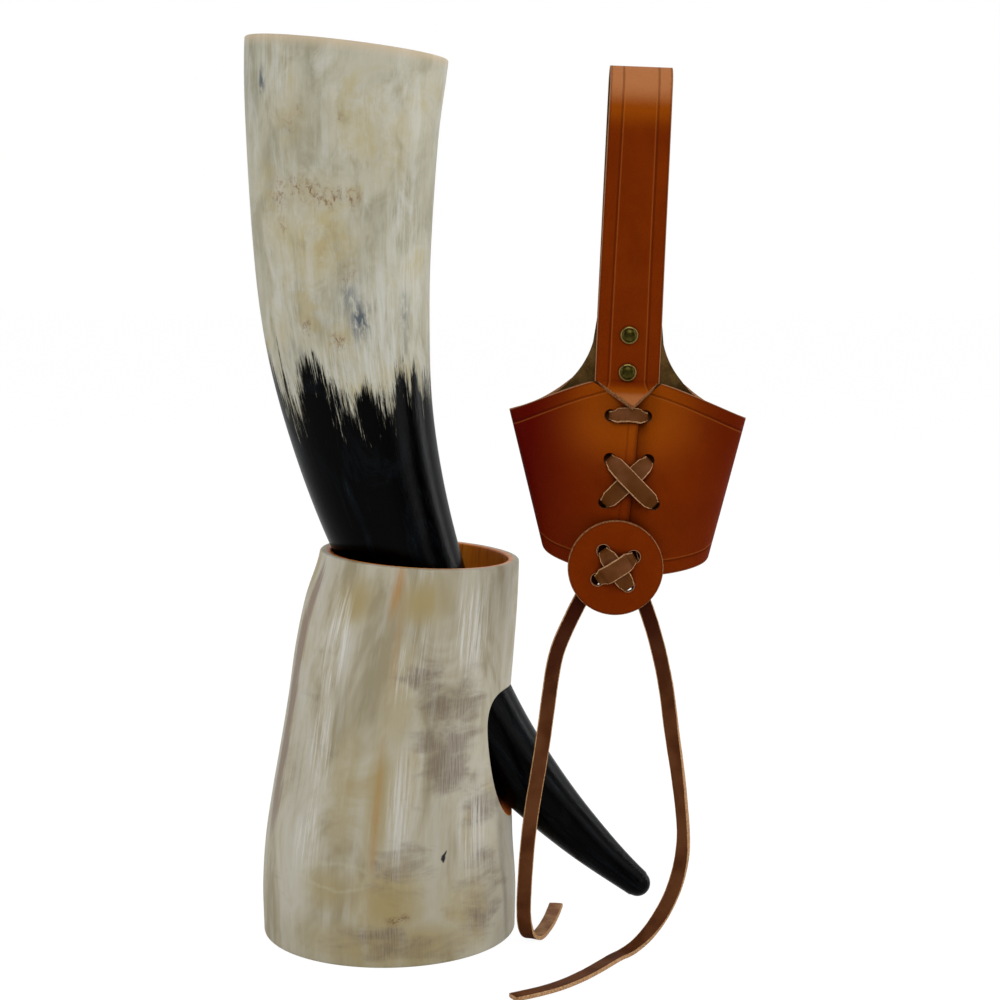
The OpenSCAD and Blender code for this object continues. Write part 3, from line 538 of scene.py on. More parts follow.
def vertices(piece):
    """Where the piece's vertices are, in millimetres."""
    at = np.empty(len(piece.data.vertices) * 3)
    piece.data.vertices.foreach_get("co", at)
    return at.reshape(-1, 3) / MM


def tree_of(points):
    tree = KDTree(len(points))
    for k, point in enumerate(points):
        tree.insert(point, k)
    tree.balance()
    return tree


def cut(piece, cutter):
    """Takes the cutter out of the piece for good."""
    step = piece.modifiers.new("cut", "BOOLEAN")
    step.operation = "DIFFERENCE"
    step.solver = "EXACT"
    step.object = cutter
    settle(piece)
    bpy.data.objects.remove(cutter)


def settle(piece):
    """Applies the piece's modifiers."""
    graph = bpy.context.evaluated_depsgraph_get()
    mesh = bpy.data.meshes.new_from_object(piece.evaluated_get(graph))
    piece.modifiers.clear()
    piece.data = mesh


def marker(on_front, turns, heights, radius):
    """What lays soft ovals on a tube: place, half width, half height and strength of each.

    Those on the front have x and z for their place, and the hidden ones turn and height."""

    def marks(front, hidden=()):
        total = np.zeros(len(turns))
        for turn, height, wide, tall, strength in [(*on_front(x, z), *rest) for x, z, *rest in front] + list(hidden):
            across = np.radians((turns - turn + 180) % 360 - 180) * radius
            reach = (across / wide) ** 2 + ((heights - height) / tall) ** 2
            total = np.maximum(total, strength * np.exp(-(reach**1.5)))
        return total

    return marks


# ---------------------------------------------------------------- drinking horn
HORN_LEN, MOUTH, TIP = 352.0, 74.0, 10.0
HORN_AT = (-13.2923, 330.153)
LEAN = [-5, -1.5, 0.5, 5.5, 12, 18, 24, 29.5, 38.5, 45.5, 51.5]
RADII = [share * MOUTH / 2 for share in (1, 0.94, 0.883, 0.819, 0.723, 0.634, 0.543, 0.454, 0.357, 0.243)] + [TIP / 2]
LIP, ROOT, DRINK, BOWL = 1.8, 5.0, 228.0, 34.0
MOUTH_DROP, MOUTH_REACH = 1.8, 16.0
spine_s = np.linspace(0, HORN_LEN, 89)
half_s = (spine_s[1:] + spine_s[:-1]) / 2
half_lean = smooth(LEAN, half_s / HORN_LEN)
spine_x = HORN_AT[0] + np.concatenate([[0], np.cumsum(dsin(half_lean) * HORN_LEN / 88)])
spine_z = HORN_AT[1] - np.concatenate([[0], np.cumsum(dcos(half_lean) * HORN_LEN / 88)])


def horn_radius(s):
    return smooth(RADII, s / HORN_LEN)


def drink_radius(s):
    return horn_radius(s) - mix(LIP, ROOT, s / DRINK)


def on_horn(x, z):
    """Turn and run of the place on the horn's front that is seen at this x and z."""
    s = np.interp(-z, -spine_z, spine_s)
    for _ in range(6):
        share = np.clip((x - np.interp(s, spine_s, spine_x)) / horn_radius(s), -0.98, 0.98)
        rise = share * horn_radius(s) * dsin(smooth(LEAN, s / HORN_LEN))
        s = np.interp(-(z - rise), -spine_z, spine_s)
    return -dacos(share), s


def build_horn():
    tip, lip = TIP / 2, LIP / 2
    runs = [(HORN_LEN - tip * (1 - dcos(a)), tip * dsin(a)) for a in np.linspace(12, 80, 7)]
    runs += [(s, horn_radius(s)) for s in np.linspace(HORN_LEN - tip, lip, 210)]
    runs += [(lip * (1 - dsin(a)), horn_radius(0) - lip + lip * dcos(a)) for a in np.linspace(15, 165, 9)]
    rim = len(runs)
    runs += [(s, drink_radius(s)) for s in np.linspace(lip, DRINK - BOWL, 70)]
    runs += [(DRINK - BOWL + BOWL * dsin(a), drink_radius(DRINK - BOWL + BOWL * dsin(a)) * dcos(a))
             for a in np.linspace(8, 84, 12)]
    sides = 144
    turns = 360 * np.arange(sides) / sides
    s, r = np.array(runs).T
    lean = smooth(LEAN, s / HORN_LEN)[:, None]
    x = np.interp(s, spine_s, spine_x)[:, None] + r[:, None] * dcos(turns) * dcos(lean)
    y = r[:, None] * dsin(turns) + 0 * lean
    z = np.interp(s, spine_s, spine_z)[:, None] + r[:, None] * dcos(turns) * dsin(lean)
    # The mouth is sawn a little lower towards the tip side
    z -= MOUTH_DROP * np.exp(-((s / MOUTH_REACH) ** 2))[:, None] * (1 + dcos(turns)) / 2
    ends = [[np.interp(q, spine_s, spine_x), 0, np.interp(q, spine_s, spine_z)] for q in (HORN_LEN, DRINK)]
    points, faces = tube(np.stack([x, y, z], 2), ends)
    turn = np.concatenate([np.tile(turns, len(s)), [0, 0]])
    run = np.concatenate([np.repeat(s, sides), [HORN_LEN, DRINK]])
    # Where the cream ends and the black begins, from the tip side round the back
    border_turn = [0, 40, 90, 130, 160, 180, 196, 210, 226, 238, 250, 260, 270, 294, 310, 322, 345, 360]
    border_run = [129, 137, 146, 134, 110, 95, 108, 125, 127, 123, 124, 128, 130, 130, 128, 128, 128, 128]
    marks = marker(on_horn, turn, run, horn_radius(run))
    dark = run - np.interp(turn, border_turn, border_run)
    dark += 24 * marks([
        (-5.6, 201, 3, 9, 0.8), (7, 208, 2.4, 15, 0.6), (12, 204, 1.8, 12, 0.8), (-24, 208, 7, 15, 0.7),
        (-38, 222, 1.2, 20, 0.7)])
    fields = {
        "fibre": np.stack([30 * dcos(turn), 30 * dsin(turn), run], 1),
        "dark": dark,
        "lip": np.where(run < 2, 1.0, clamp((3.2 - run) / 1.6)),
        "pits": marks([
            (-36, 277, 4, 5, 0.8), (-29, 279, 5, 3.4, 0.9), (-23.5, 276.5, 4, 4, 1), (-17, 275.5, 4, 4, 1),
            (-9.5, 275, 3, 3.4, 0.9), (-31.5, 301.5, 3, 3.5, 0.6), (-28, 305, 2, 2, 0.5), (-13, 302, 2.4, 2.4, 0.5),
            (-35, 265, 2.4, 4, 0.5), (-12, 248, 4, 4, 0.5), (-21, 255, 3, 3, 0.4), (-26, 230, 2.6, 3, 0.8),
            (-15, 225, 3, 3, 0.9)], [(70, 60, 9, 3, 0.8), (130, 95, 6, 4, 0.8)]),
        "ochre": marks([
            (-26, 236, 6, 12, 0.8), (-15.1, 226, 6, 8, 0.7), (-27, 277, 16, 9, 0.4), (-40, 276, 6, 14, 0.6),
            (-33, 250, 9, 12, 0.4), (-16, 257, 10, 9, 0.7), (-9, 306, 8, 8, 0.6), (-32, 302, 8, 10, 0.5),
            (4, 292, 10, 12, 0.5), (-36, 228, 4, 8, 0.5)], [(60, 90, 16, 14, 0.5), (150, 50, 14, 18, 0.5)]),
        "blue": marks([
            (-41.9, 316.2, 2.0, 4.6, 0.9), (-7.3, 232, 3.6, 8, 0.95), (-11, 240, 3, 6, 0.6), (8, 232, 2.6, 12, 0.45),
            (-30, 216, 5, 7, 0.4)], [(100, 110, 6, 12, 0.5)]),
        "pale": clamp(0.1 + marks([
            (-2, 225, 14, 26, 0.9), (8, 245, 10, 40, 0.6), (-18, 212, 10, 14, 0.7), (-34, 245, 10, 24, 0.4),
            (-37, 318, 10, 12, 0.6)]))}
    index = np.repeat(np.arange(len(s) - 1) >= rim - 1, sides).astype(int).tolist() + [0] * sides + [1] * sides
    piece = solid("drinking_horn", points, faces, HORN_LOOKS, index, fields)
    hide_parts("horn_cup")
    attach(piece, "horn")


# ---------------------------------------------------------------- stand
STAND_H, STAND_D, STAND_T, STAND_LEAN, TOP_SLOPE = 144.0, 96.4, 4.0, 12.2, 3.3
BEVEL, INNER_BEVEL = 0.7, 0.5
STAND_RADII = [0.992, 0.997, 0.972, 0.938, 0.9, 0.865, 0.85, 0.823, 0.772]
STAND_SHIFT = [0, 0, 0.01, 0.11, 0.235, 0.355, 0.52, 0.735, 1]
HOLE_OUT, HOLE_IN = np.array([46.7106, 93.768, 45.2]), np.array([42.7106, 102.728, 48.7904])
HOLE_W, HOLE_SIDE, HOLE_TURN = 45.0, 0.144816, 4.0
# The hole's edge is worn off at its lower front: how much, and where round the hole
WORN, WORN_AT, WORN_REACH = 2.2, 228, 26


def stand_radius(t):
    return smooth(STAND_RADII, t) * STAND_D / 2


def stand_shift(t):
    return smooth(STAND_SHIFT, t) * STAND_LEAN


def stand_ring(t, inset, turns):
    r = stand_radius(t) - inset
    slope = t * TOP_SLOPE
    return np.stack([
        stand_shift(t) + r * dcos(turns) * dcos(slope), r * dsin(turns),
        t * STAND_H - r * dcos(turns) * dsin(slope)], 1)


def on_stand(x, z):
    return -dacos((x - stand_shift(z / STAND_H)) / stand_radius(z / STAND_H)), z


def build_stand():
    sides = 288
    turns = 360 * np.arange(sides) / sides
    b = BEVEL / STAND_H
    rows = [(b * (1 - dsin(a)), BEVEL * (1 - dcos(a)), 0) for a in (90, 60, 30)]
    rows += [(t, 0, 0) for t in np.linspace(b, 1 - b, 120)]
    rows += [(1 - b * (1 - dsin(a)), BEVEL * (1 - dcos(a)), 0) for a in (30, 60, 90)]
    rows += [(1, mix(BEVEL, STAND_T - INNER_BEVEL, 0.5), 1)]
    rows += [(1 - b * (1 - dcos(a)), STAND_T - INNER_BEVEL * (1 - dsin(a)), 1) for a in (0, 30, 60, 90)]
    rows += [(t, STAND_T, 1) for t in np.linspace(1 - 3 * b, b, 48)]
    rows += [(0, STAND_T, 1)]
    points, faces = tube([stand_ring(t, inset, turns) for t, inset, _ in rows], loop=True)
    index = np.repeat([row[2] for row in rows], sides)
    piece = solid("horn_stand", points, faces, STAND_LOOKS, index)
    around = 360 * np.arange(120) / 120

    def hole_ring(t):
        at = mix(HOLE_OUT, HOLE_IN, t)
        half = (at[1] - at[2]) / 2 / math.sqrt(1 - HOLE_SIDE**2)
        worn = WORN * np.exp(-(((around - WORN_AT) / WORN_REACH) ** 2))
        y = (HOLE_W / 2 + worn) * dcos(around)
        z = (at[1] + at[2]) / 2 + (half + worn) * dsin(around)
        return np.stack([
            at[0] * dcos(HOLE_TURN) + y * dsin(HOLE_TURN), y * dcos(HOLE_TURN) - at[0] * dsin(HOLE_TURN), z], 1)

    rings = [hole_ring(t) for t in (3, 1.5, 0.5, 0, -0.75, -1.5)]
    points, faces = tube(rings, [rings[0].mean(0), rings[-1].mean(0)])
    cutter = solid("side_hole", points, faces, STAND_LOOKS, np.full(len(faces), 2))
    cut(piece, cutter)
    piece.data.set_sharp_from_angle(angle=math.radians(40))
    at = vertices(piece)
    height = at[:, 2]
    aside = at[:, 0] - stand_shift(height / STAND_H)
    turn = np.degrees(np.arctan2(at[:, 1], aside)) % 360
    radius = stand_radius(height / STAND_H)
    marks = marker(on_stand, turn, height, radius)
    paint(piece.data, {
        "fibre": np.stack([40 * dcos(turn), 40 * dsin(turn), height], 1),
        "skin": radius - np.hypot(aside, at[:, 1]),
        # The first five taupe marks are painted shade down the left edge, the last three the horn's own patches on
        # the back
        "taupe": marks([], [
            (204, 130, 4, 14, 0.9), (201, 112, 5, 18, 1), (200, 94, 5, 18, 1), (200, 74, 5, 20, 1),
            (200, 54, 6, 18, 0.9), (60, 80, 22, 50, 0.9), (150, 60, 16, 40, 0.8), (110, 30, 14, 30, 0.6)]),
        "lifted": -0.1 + marks([
            (-17, 116, 6, 22, 1), (32, 122, 10, 18, 0.9), (14, 116, 8, 16, 0.5), (-22, 82, 8, 22, 0.7),
            (-28, 45, 8, 18, 0.6), (6, 56, 5, 26, 0.5), (32, 46, 10, 18, 0.6), (8, 108, 7, 14, 0.6)],
            [(30, 70, 24, 40, 0.5), (100, 60, 24, 40, 0.5)]),
        "yellow": marks([
            (-10.4, 131, 8, 9, 1), (15.2, 132, 9, 8, 1), (-13.4, 64, 7, 22, 0.7), (-1.6, 60, 5, 26, 0.9),
            (-20, 28, 10, 8, 0.7), (5.7, 98, 6, 24, 0.6), (2, 24, 14, 16, 1), (30, 20, 14, 12, 0.6),
            (4, 8, 34, 10, 0.9)],
            [(80, 100, 14, 40, 0.8), (170, 110, 12, 30, 0.8)]),
        "mottle": -0.1 + marks([
            (24.3, 73.5, 12, 12, 1), (16.3, 105.4, 9, 9, 0.8), (35, 25, 16, 20, 0.7), (31.3, 96.4, 10, 18, 0.7),
            (20.3, 85.5, 10, 14, 0.8), (36, 60, 12, 18, 0.8), (5.7, 34.6, 14, 14, 0.6), (0, 9, 26, 9, 0.6)],
            [(40, 60, 20, 30, 0.7), (120, 90, 18, 26, 0.8)]),
        "ring": marks([(-18, 33, 15, 6, 1)]),
        "amber": marks(
            [(5.8, 137, 2.0, 10, 0.9), (5.5, 118, 1.0, 18, 0.4), (-2.2, 56, 1.3, 22, 0.6)],
            [(75, 120, 1.6, 14, 0.8)]),
        "crack": marks([(3.5, 17.6, 2.4, 1.4, 1), (7.4, 18.8, 2.2, 1.1, 1)]),
        "speck": marks([(21.7, 38.9, 1.2, 2.0, 1), (22.6, 41, 0.7, 1.4, 0.8)])})
    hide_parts("stand")
    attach(piece, "stand")


# ---------------------------------------------------------------- leather holder
HUNG, HUNG_LEAN = np.array([85.5, -20.0, 148.3]), 2.2
LEATHER_T, LEATHER_BEVEL, GAP = 2.4, 0.3, 0.3
BUTTON_U, BUTTON_W, BUTTON_TURN, BUTTON_R, BUTTON_T = -2.1, -3.6, 9, 17.0, 2.8
SLEEVE_H, SLEEVE_D, SHOULDER_H, STRAP_ROOT, POINT_H = 50.2, 30.6, 61.3, 83.6, 52.8
STRAP_HALF, FOLD_HALF, STRAP_TOP, LOOP_GAP = 11.6, 11.0, 173.0, 9.0
NOTCH_SIDE, NOTCH_DROP = 0.9, 2.0
FULL, LAYER = (SLEEVE_D - LEATHER_T) / 2, (LEATHER_T + GAP) / 2
BUTTON_BACK = FULL + LAYER + LEATHER_T / 2 + GAP
SEAM_LAP, LAP_RUN, PROBE = 3.5, 8.0, 0.4
# At the lower and at the upper corners of the sleeve
LOW_SHIFT, TOP_SHIFT = 2.6, 0.9
LOW_WIDTH, TOP_WIDTH = 60.6, 85.6
LOW_SEAM, TOP_SEAM = -1.7, 4
# The hem's slope in degrees, how far all of it hangs down, how much more its left and right ends do, and how
# much less its middle does
HEM_SLOPE, HEM_DROP, HEM_SIDE, HEM_MIDDLE = -1.4, 1.1, 6, 2
OPEN_SHARE = [0.87, 0.95, 1, 0.98, 0.94, 0.87, 0.79, 0.7, 0.62]
FRONT_SHARE = [0.87, 0.95, 1, 0.98, 0.86, 0.6, 0.29, 0.13, 0.11]
BACK_SHARE = [0.87, 0.95, 1, 1, 0.97, 0.88, 0.7, 0.42, LAYER / FULL]
FRONT_COLUMNS = [0, 0.03, 0.06, 0.1, 0.15, 0.22, 0.32, 0.44, 0.58, 0.72, 0.84, 0.92, 0.965]
BACK_COLUMNS = [0, 0.035, 0.08, 0.17, 0.32, 0.5, 0.68, 0.82, 0.9, 0.95, 0.98]


def hung(points):
    """From the holder's own upright frame to where it hangs."""
    p = np.asarray(points, float)
    x = p[..., 0] * dcos(HUNG_LEAN) + p[..., 2] * dsin(HUNG_LEAN)
    z = p[..., 2] * dcos(HUNG_LEAN) - p[..., 0] * dsin(HUNG_LEAN)
    return np.stack([x, p[..., 1], z], -1) + HUNG


def hang(piece, at):
    """Moves the piece's vertices from the upright frame to where they hang, with its edges sharp."""
    piece.data.vertices.foreach_set("co", (hung(at) * MM).ravel())
    piece.data.set_sharp_from_angle(angle=math.radians(48))


def up_sleeve(low, top, w):
    """A size that goes evenly from the lower to the upper corners of the sleeve."""
    return mix(low, top, np.minimum(w / SLEEVE_H, 1))


def sleeve_shift(w):
    return up_sleeve(LOW_SHIFT, TOP_SHIFT, w)


def sleeve_half(w):
    return (up_sleeve(LOW_WIDTH, TOP_WIDTH, w) - LEATHER_T) / 2


def seam_edge(side, w):
    """Where the front edge of a side lies: the left one laps over the right one."""
    return up_sleeve(LOW_SEAM, TOP_SEAM, w) - (0 if side < 0 else SEAM_LAP)


def sleeve_depth(turn, w):
    t = w / SHOULDER_H
    middle = np.where(dsin(turn) < 0, smooth(FRONT_SHARE, t), smooth(BACK_SHARE, t))
    return FULL * mix(smooth(OPEN_SHARE, t), middle, dsin(turn) ** 2)


def lap_lift(side, u, w):
    return -side * LAYER * (1 - ease((np.abs(u - seam_edge(side, w)) - SEAM_LAP) / LAP_RUN))


def front_turn(side, share, w):
    return (side * np.degrees(np.arcsin(seam_edge(side, w) / sleeve_half(w))) - 90) * (1 - share)


def strap_turn(share, w):
    return dacos((share * STRAP_HALF - sleeve_shift(w)) / sleeve_half(w))


def column_turn(column, w):
    kind, side, share = column
    if kind == "front":
        turn = front_turn(side, share, w)
        return turn if side > 0 else 180 - turn
    if kind == "back":
        return strap_turn(1, w) * share if side > 0 else 180 - (180 - strap_turn(-1, w)) * share
    return strap_turn(share, w)


def sheet_at(column, turn, w):
    u = sleeve_half(w) * dcos(turn)
    lift = 0 * u
    if column[0] == "front":
        climb = (sleeve_depth(turn, w + PROBE) - sleeve_depth(turn, w - PROBE)) / (2 * PROBE)
        lift = lap_lift(column[1], u, w) * np.sqrt(1 + climb**2)
    return np.stack([u + sleeve_shift(w), dsin(turn) * sleeve_depth(turn, w) - lift, w + 0 * u], -1)


def sheet_point(column, w):
    return sheet_at(column, column_turn(column, w), w)


def sheet_out(column, w):
    turn = column_turn(column, w)
    return unit(np.cross(
        sheet_at(column, turn + 1, w) - sheet_at(column, turn - 1, w),
        sheet_at(column, turn, w + PROBE) - sheet_at(column, turn, w - PROBE)))


def hem_height(column):
    turn = column_turn(column, 0.0)
    side = abs(dsin(turn))
    slope = math.tan(math.radians(HEM_SLOPE))
    return sleeve_half(0.0) * dcos(turn) * slope - HEM_DROP - HEM_SIDE * side**1.5 + HEM_MIDDLE * (1 - side) ** 6


def top_height(column):
    u = sheet_point(column, SLEEVE_H)[0]
    kind, side, _ = column
    notch = STRAP_HALF + NOTCH_SIDE
    corner = sleeve_half(SLEEVE_H) + side * TOP_SHIFT
    if kind == "front":
        edge = seam_edge(side, SLEEVE_H) + TOP_SHIFT
        if side * u < notch:
            return mix(POINT_H - NOTCH_DROP, SHOULDER_H, clamp(side * (u - edge) / (notch - side * edge)))
        return mix(SHOULDER_H, SLEEVE_H, ((side * u - notch) / (corner - notch)) ** 1.15)
    if kind == "back":
        t = np.sqrt(clamp((side * u - STRAP_HALF) / (corner - STRAP_HALF)))
        return mix(STRAP_ROOT, SLEEVE_H, 1 - (1 - t) ** 1.4)
    return STRAP_ROOT


def sheet_heights(column, rows):
    low, high = hem_height(column), top_height(column)
    knee = min(SHOULDER_H, mix(low, high, 0.93))
    return np.where(rows <= 10, mix(low, knee, rows / 10), mix(knee, high, (rows - 10) / 3))


FOLD_R = (LOOP_GAP + LEATHER_T) / 2
FOLD_H = STRAP_TOP - FOLD_R - LEATHER_T / 2
END_START = mix(SHOULDER_H, STRAP_ROOT, 0.02)


def strap_lines():
    """The strap's middle line after it leaves the sleeve: depth, height, and how far into its end."""
    climb = [mix(STRAP_ROOT, FOLD_H, i / 64) for i in range(1, 65)]
    out = lambda h: mix(LAYER, FOLD_R, ease((h - STRAP_ROOT) / (FOLD_H - STRAP_ROOT)))
    line = [(out(h), h, 0) for h in climb]
    line += [(FOLD_R * dcos(a), FOLD_H + FOLD_R * dsin(a), 0) for a in np.linspace(6, 180, 30)]
    line += [(-out(h), h, 0) for h in climb[-2::-1]] + [(-out(STRAP_ROOT), STRAP_ROOT, 0)]
    line += [(-LAYER, mix(STRAP_ROOT, END_START, i / 14), 0) for i in range(1, 15)]
    return line + [(-LAYER, END_START, i / 16) for i in range(1, 17)]


def strap_point(share, line):
    depth, h, past = line
    if past > 0:
        h = mix(END_START, mix(POINT_H, SHOULDER_H, abs(share)), past)
    drop = max(SHOULDER_H - h, 0) if past > 0 else 0
    half = mix(STRAP_HALF, FOLD_HALF, clamp((h - STRAP_ROOT) / (FOLD_H - STRAP_ROOT)))
    return [share * half + 2 * drop / (SHOULDER_H - POINT_H), depth - 0.95 * drop, h]


def button_hole(across, up):
    u, w = across * 5.5, up * 5.2
    c, s = dcos(BUTTON_TURN), dsin(BUTTON_TURN)
    return np.array([BUTTON_U + u * c + w * s, BUTTON_W - u * s + w * c])


def on_sleeve(p):
    return np.array([p[0] + sleeve_shift(p[1]), p[1]])


# The pairs of lace holes: the bar's, and the upper and lower ones of the cross
LACE_HOLES = [on_sleeve((side * u, w)) for u, w in ((6.4, 49.4), (6.9, 34.4), (8.8, 19.2)) for side in (-1, 1)]
LACE_HOLE_R, BUTTON_HOLE_R, POST_R = 2.2, 2.3, 1.4
RIVETS = {"upper": 78.3, "lower": 64.9}


def rods(places, radius, near, far, sides=40):
    """Cutters along the depth, at places sideways and up."""
    points, faces = [], []
    a = 360 * np.arange(sides) / sides
    for u, w in places:
        rings = [np.stack([u + radius * dcos(a), 0 * a + y, w + radius * dsin(a)], 1) for y in (near, far)]
        more, quads = tube(rings, [[u, near, w], [u, far, w]])
        quads = [[i + len(points) for i in q] for q in quads]
        points += more.tolist()
        faces += quads
    return np.array(points), faces


def finer(table, steps):
    return np.interp(np.linspace(0, len(table) - 1, steps), np.arange(len(table)), table)


def build_holder():
    front, back, across = finer(FRONT_COLUMNS, 62), finer(BACK_COLUMNS, 44), np.linspace(1, -1, 27)
    columns = [("front", 1, s) for s in front] + [("back", 1, s) for s in back]
    first = len(columns)
    columns += [("strap", 0, s) for s in across]
    last = len(columns) - 1
    columns += [("back", -1, s) for s in back[::-1]] + [("front", -1, s) for s in front[::-1]]
    rows = np.concatenate([np.linspace(0, 10, 58), np.linspace(10, 13, 9)[1:]])
    lines = strap_lines()
    middle, outs = [], []
    for i, column in enumerate(columns):
        w = sheet_heights(column, rows)
        at, out = sheet_point(column, w), sheet_out(column, w)
        if first <= i <= last:
            more = np.array([strap_point(column[2], line) for line in lines])
            at = np.concatenate([at, more])
            along = np.gradient(at, axis=0)[len(rows):]
            out = np.concatenate([out, unit(np.stack([0 * along[:, 0], along[:, 2], -along[:, 1]], 1))])
        middle.append(at)
        outs.append(out)
    start = np.concatenate([[0], np.cumsum([2 * len(m) for m in middle])])
    points = np.concatenate([np.stack([m + o * LEATHER_T / 2, m - o * LEATHER_T / 2], 1).reshape(-1, 3)
                             for m, o in zip(middle, outs)])
    grain = lambda i, row: int(start[i] + 2 * row)
    faces, index = [], []

    def quad(look, *corners):
        faces.append(corners)
        index.append(look)

    for i in range(len(columns) - 1):
        low = min(len(middle[i]), len(middle[i + 1])) - 1
        for r in range(low):
            a, b, c, d = grain(i, r), grain(i, r + 1), grain(i + 1, r + 1), grain(i + 1, r)
            quad(0, a, b, c, d)
            quad(1, a + 1, d + 1, c + 1, b + 1)
        for r in (0, low):
            a, d = grain(i, r), grain(i + 1, r)
            quad(2, a, a + 1, d + 1, d)
    runs = [(0, 0, len(rows) - 1), (len(columns) - 1, 0, len(rows) - 1)]
    runs += [(i, len(rows) - 1, len(middle[first]) - 1) for i in (first, last)]
    for i, low, high in runs:
        for r in range(low, high):
            a, b = grain(i, r), grain(i, r + 1)
            quad(2, a, b, b + 1, a + 1)

    # How far each place is from the sheet's edges, and from the edge at the seam
    edge, seam = np.full(len(points), 99.0), np.full(len(points), 99.0)
    groups = [(range(0, len(front)), True), (range(len(front), len(columns) - len(front)), False),
              (range(len(columns) - len(front), len(columns)), True)]
    for group, has_seam in groups:
        hem = np.array([middle[i][0] for i in group])
        far = np.linspace(0, 16, 60)[:, None]
        if has_seam:
            # The crease runs on straight where the strap hides the notch
            tops = np.array([middle[i][-1] for i in group])
            tops = tops[np.argsort(np.abs(tops[:, 0]))]
            tops = tops[np.abs(tops[:, 0]) > 13]
            lines_here = [hem, tops]
            straight = tops[0] + far * unit(tops[0] - tops[3])
        else:
            lines_here = [
                hem, np.array([middle[i][-1] for i in group if i < first] + [middle[first][len(rows)]]),
                np.array([middle[last][len(rows)]] + [middle[i][-1] for i in group if i > last]),
                middle[first][len(rows) - 1:], middle[last][len(rows) - 1:]]
            straight = np.concatenate([middle[i][-1] - far * [0, 0, 1] for i in (first, last)])
        dots = np.concatenate([refine(line, 6) for line in lines_here] + [straight])
        tree = tree_of(dots)
        rim = middle[0] if group[0] == 0 else middle[-1]
        for i in group:
            gaps = np.array([tree.find(p)[2] for p in middle[i]])
            edge[start[i]:start[i + 1]] = np.repeat(gaps, 2)
            if has_seam:
                near = np.linalg.norm(middle[i][:, None] - rim[None], axis=2).min(1)
                seam[start[i]:start[i + 1]] = np.repeat(near, 2)
    # Darker and redder towards the sides and the hem: partly the leather's dye and partly painted shade
    u, w = points[:, 0], points[:, 2]
    side = clamp(np.abs(u - 4) / 38)
    strap = np.zeros(len(points), bool)
    strap[start[first] + 2 * len(rows):start[last + 1]] = True
    shade = np.where(strap, 0.05, side**1.3 * np.where(u < 4, 1, 0.6))
    # Painted highlight: glow lightens the front's middle towards the top, and lit the front of the strap's end and of
    # its fold
    glow = 0.85 * np.exp(-((np.abs(u - 2) / 24) ** 3)) * ease((w - 22) / 26) * ~strap
    lit = 1.6 * ease((62 - w) / 6) + 2 * ease((w - 146) / 24)
    glow += lit * strap * (points[:, 1] < 0)

    piece = solid("belt_holder", points, faces, [LEATHER, FLESH, EDGE], index)
    round_off = piece.modifiers.new("edges", "BEVEL")
    round_off.width = LEATHER_BEVEL * MM
    round_off.segments = 2
    round_off.limit_method = "ANGLE"
    round_off.angle_limit = math.radians(50)
    settle(piece)
    holes, quads = rods(LACE_HOLES + [button_hole(-1, 1), button_hole(1, 1)], LACE_HOLE_R, -SLEEVE_D, 0)
    posts, post_quads = rods([(0, h) for h in RIVETS.values()], POST_R, -SLEEVE_D / 2, SLEEVE_D / 2)
    quads += [[i + len(holes) for i in q] for q in post_quads]
    cutter = solid("holes", np.concatenate([holes, posts]), quads, [LEATHER, FLESH, EDGE], np.full(len(quads), 2))
    cut(piece, cutter)
    tree = tree_of(points)
    at = vertices(piece)
    near = np.array([tree.find(p)[1] for p in at])
    paint(piece.data, {"edge": edge[near], "seam": seam[near], "shade": shade[near], "glow": glow[near]})
    hang(piece, at)
    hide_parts("leather_holder")
    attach(piece, "holder")


# ---------------------------------------------------------------- rivets and button
def lathe(profile, sides):
    """A turned solid round the depth axis: radius and distance towards the front of each ring."""
    a = 360 * np.arange(sides) / sides
    rings = [np.stack([r * dcos(a), 0 * a - d, r * dsin(a)], 1) for r, d in profile]
    return tube(rings, [[0, -profile[0][1], 0], [0, -profile[-1][1], 0]])


def build_rivets():
    r, t = 3.25, 1.9
    profile = [(0.4, 0.0), (r - 0.25, 0.0), (r - 0.07, 0.08), (r, 0.25), (r, 0.5), (r - 0.05, 0.68), (r - 0.2, 0.84),
               (r - 0.42, 0.95), (r - 0.6, 0.95), (r - 0.75, 1.0)]
    profile += [((r - 0.75) * dcos(a), 1.0 + (t - 1.0) * dsin(a)) for a in np.linspace(8, 86, 14)]
    for name, h in RIVETS.items():
        points, faces = lathe(profile, 72)
        radius = np.hypot(points[:, 0], points[:, 2])
        rim = np.exp(-((radius - r + 0.3) / 0.3) ** 2)
        points = points + [0, -LAYER - LEATHER_T / 2, h]
        piece = solid(f"rivet_head_{name}", hung(points), faces, [BRASS], fields={"rim": rim})
        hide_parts(f"rivet_cap_{name}")
        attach(piece, "holder")
        post = cad[f"rivet_post_{name}"]
        post.data.materials.clear()
        post.data.materials.append(BRASS)


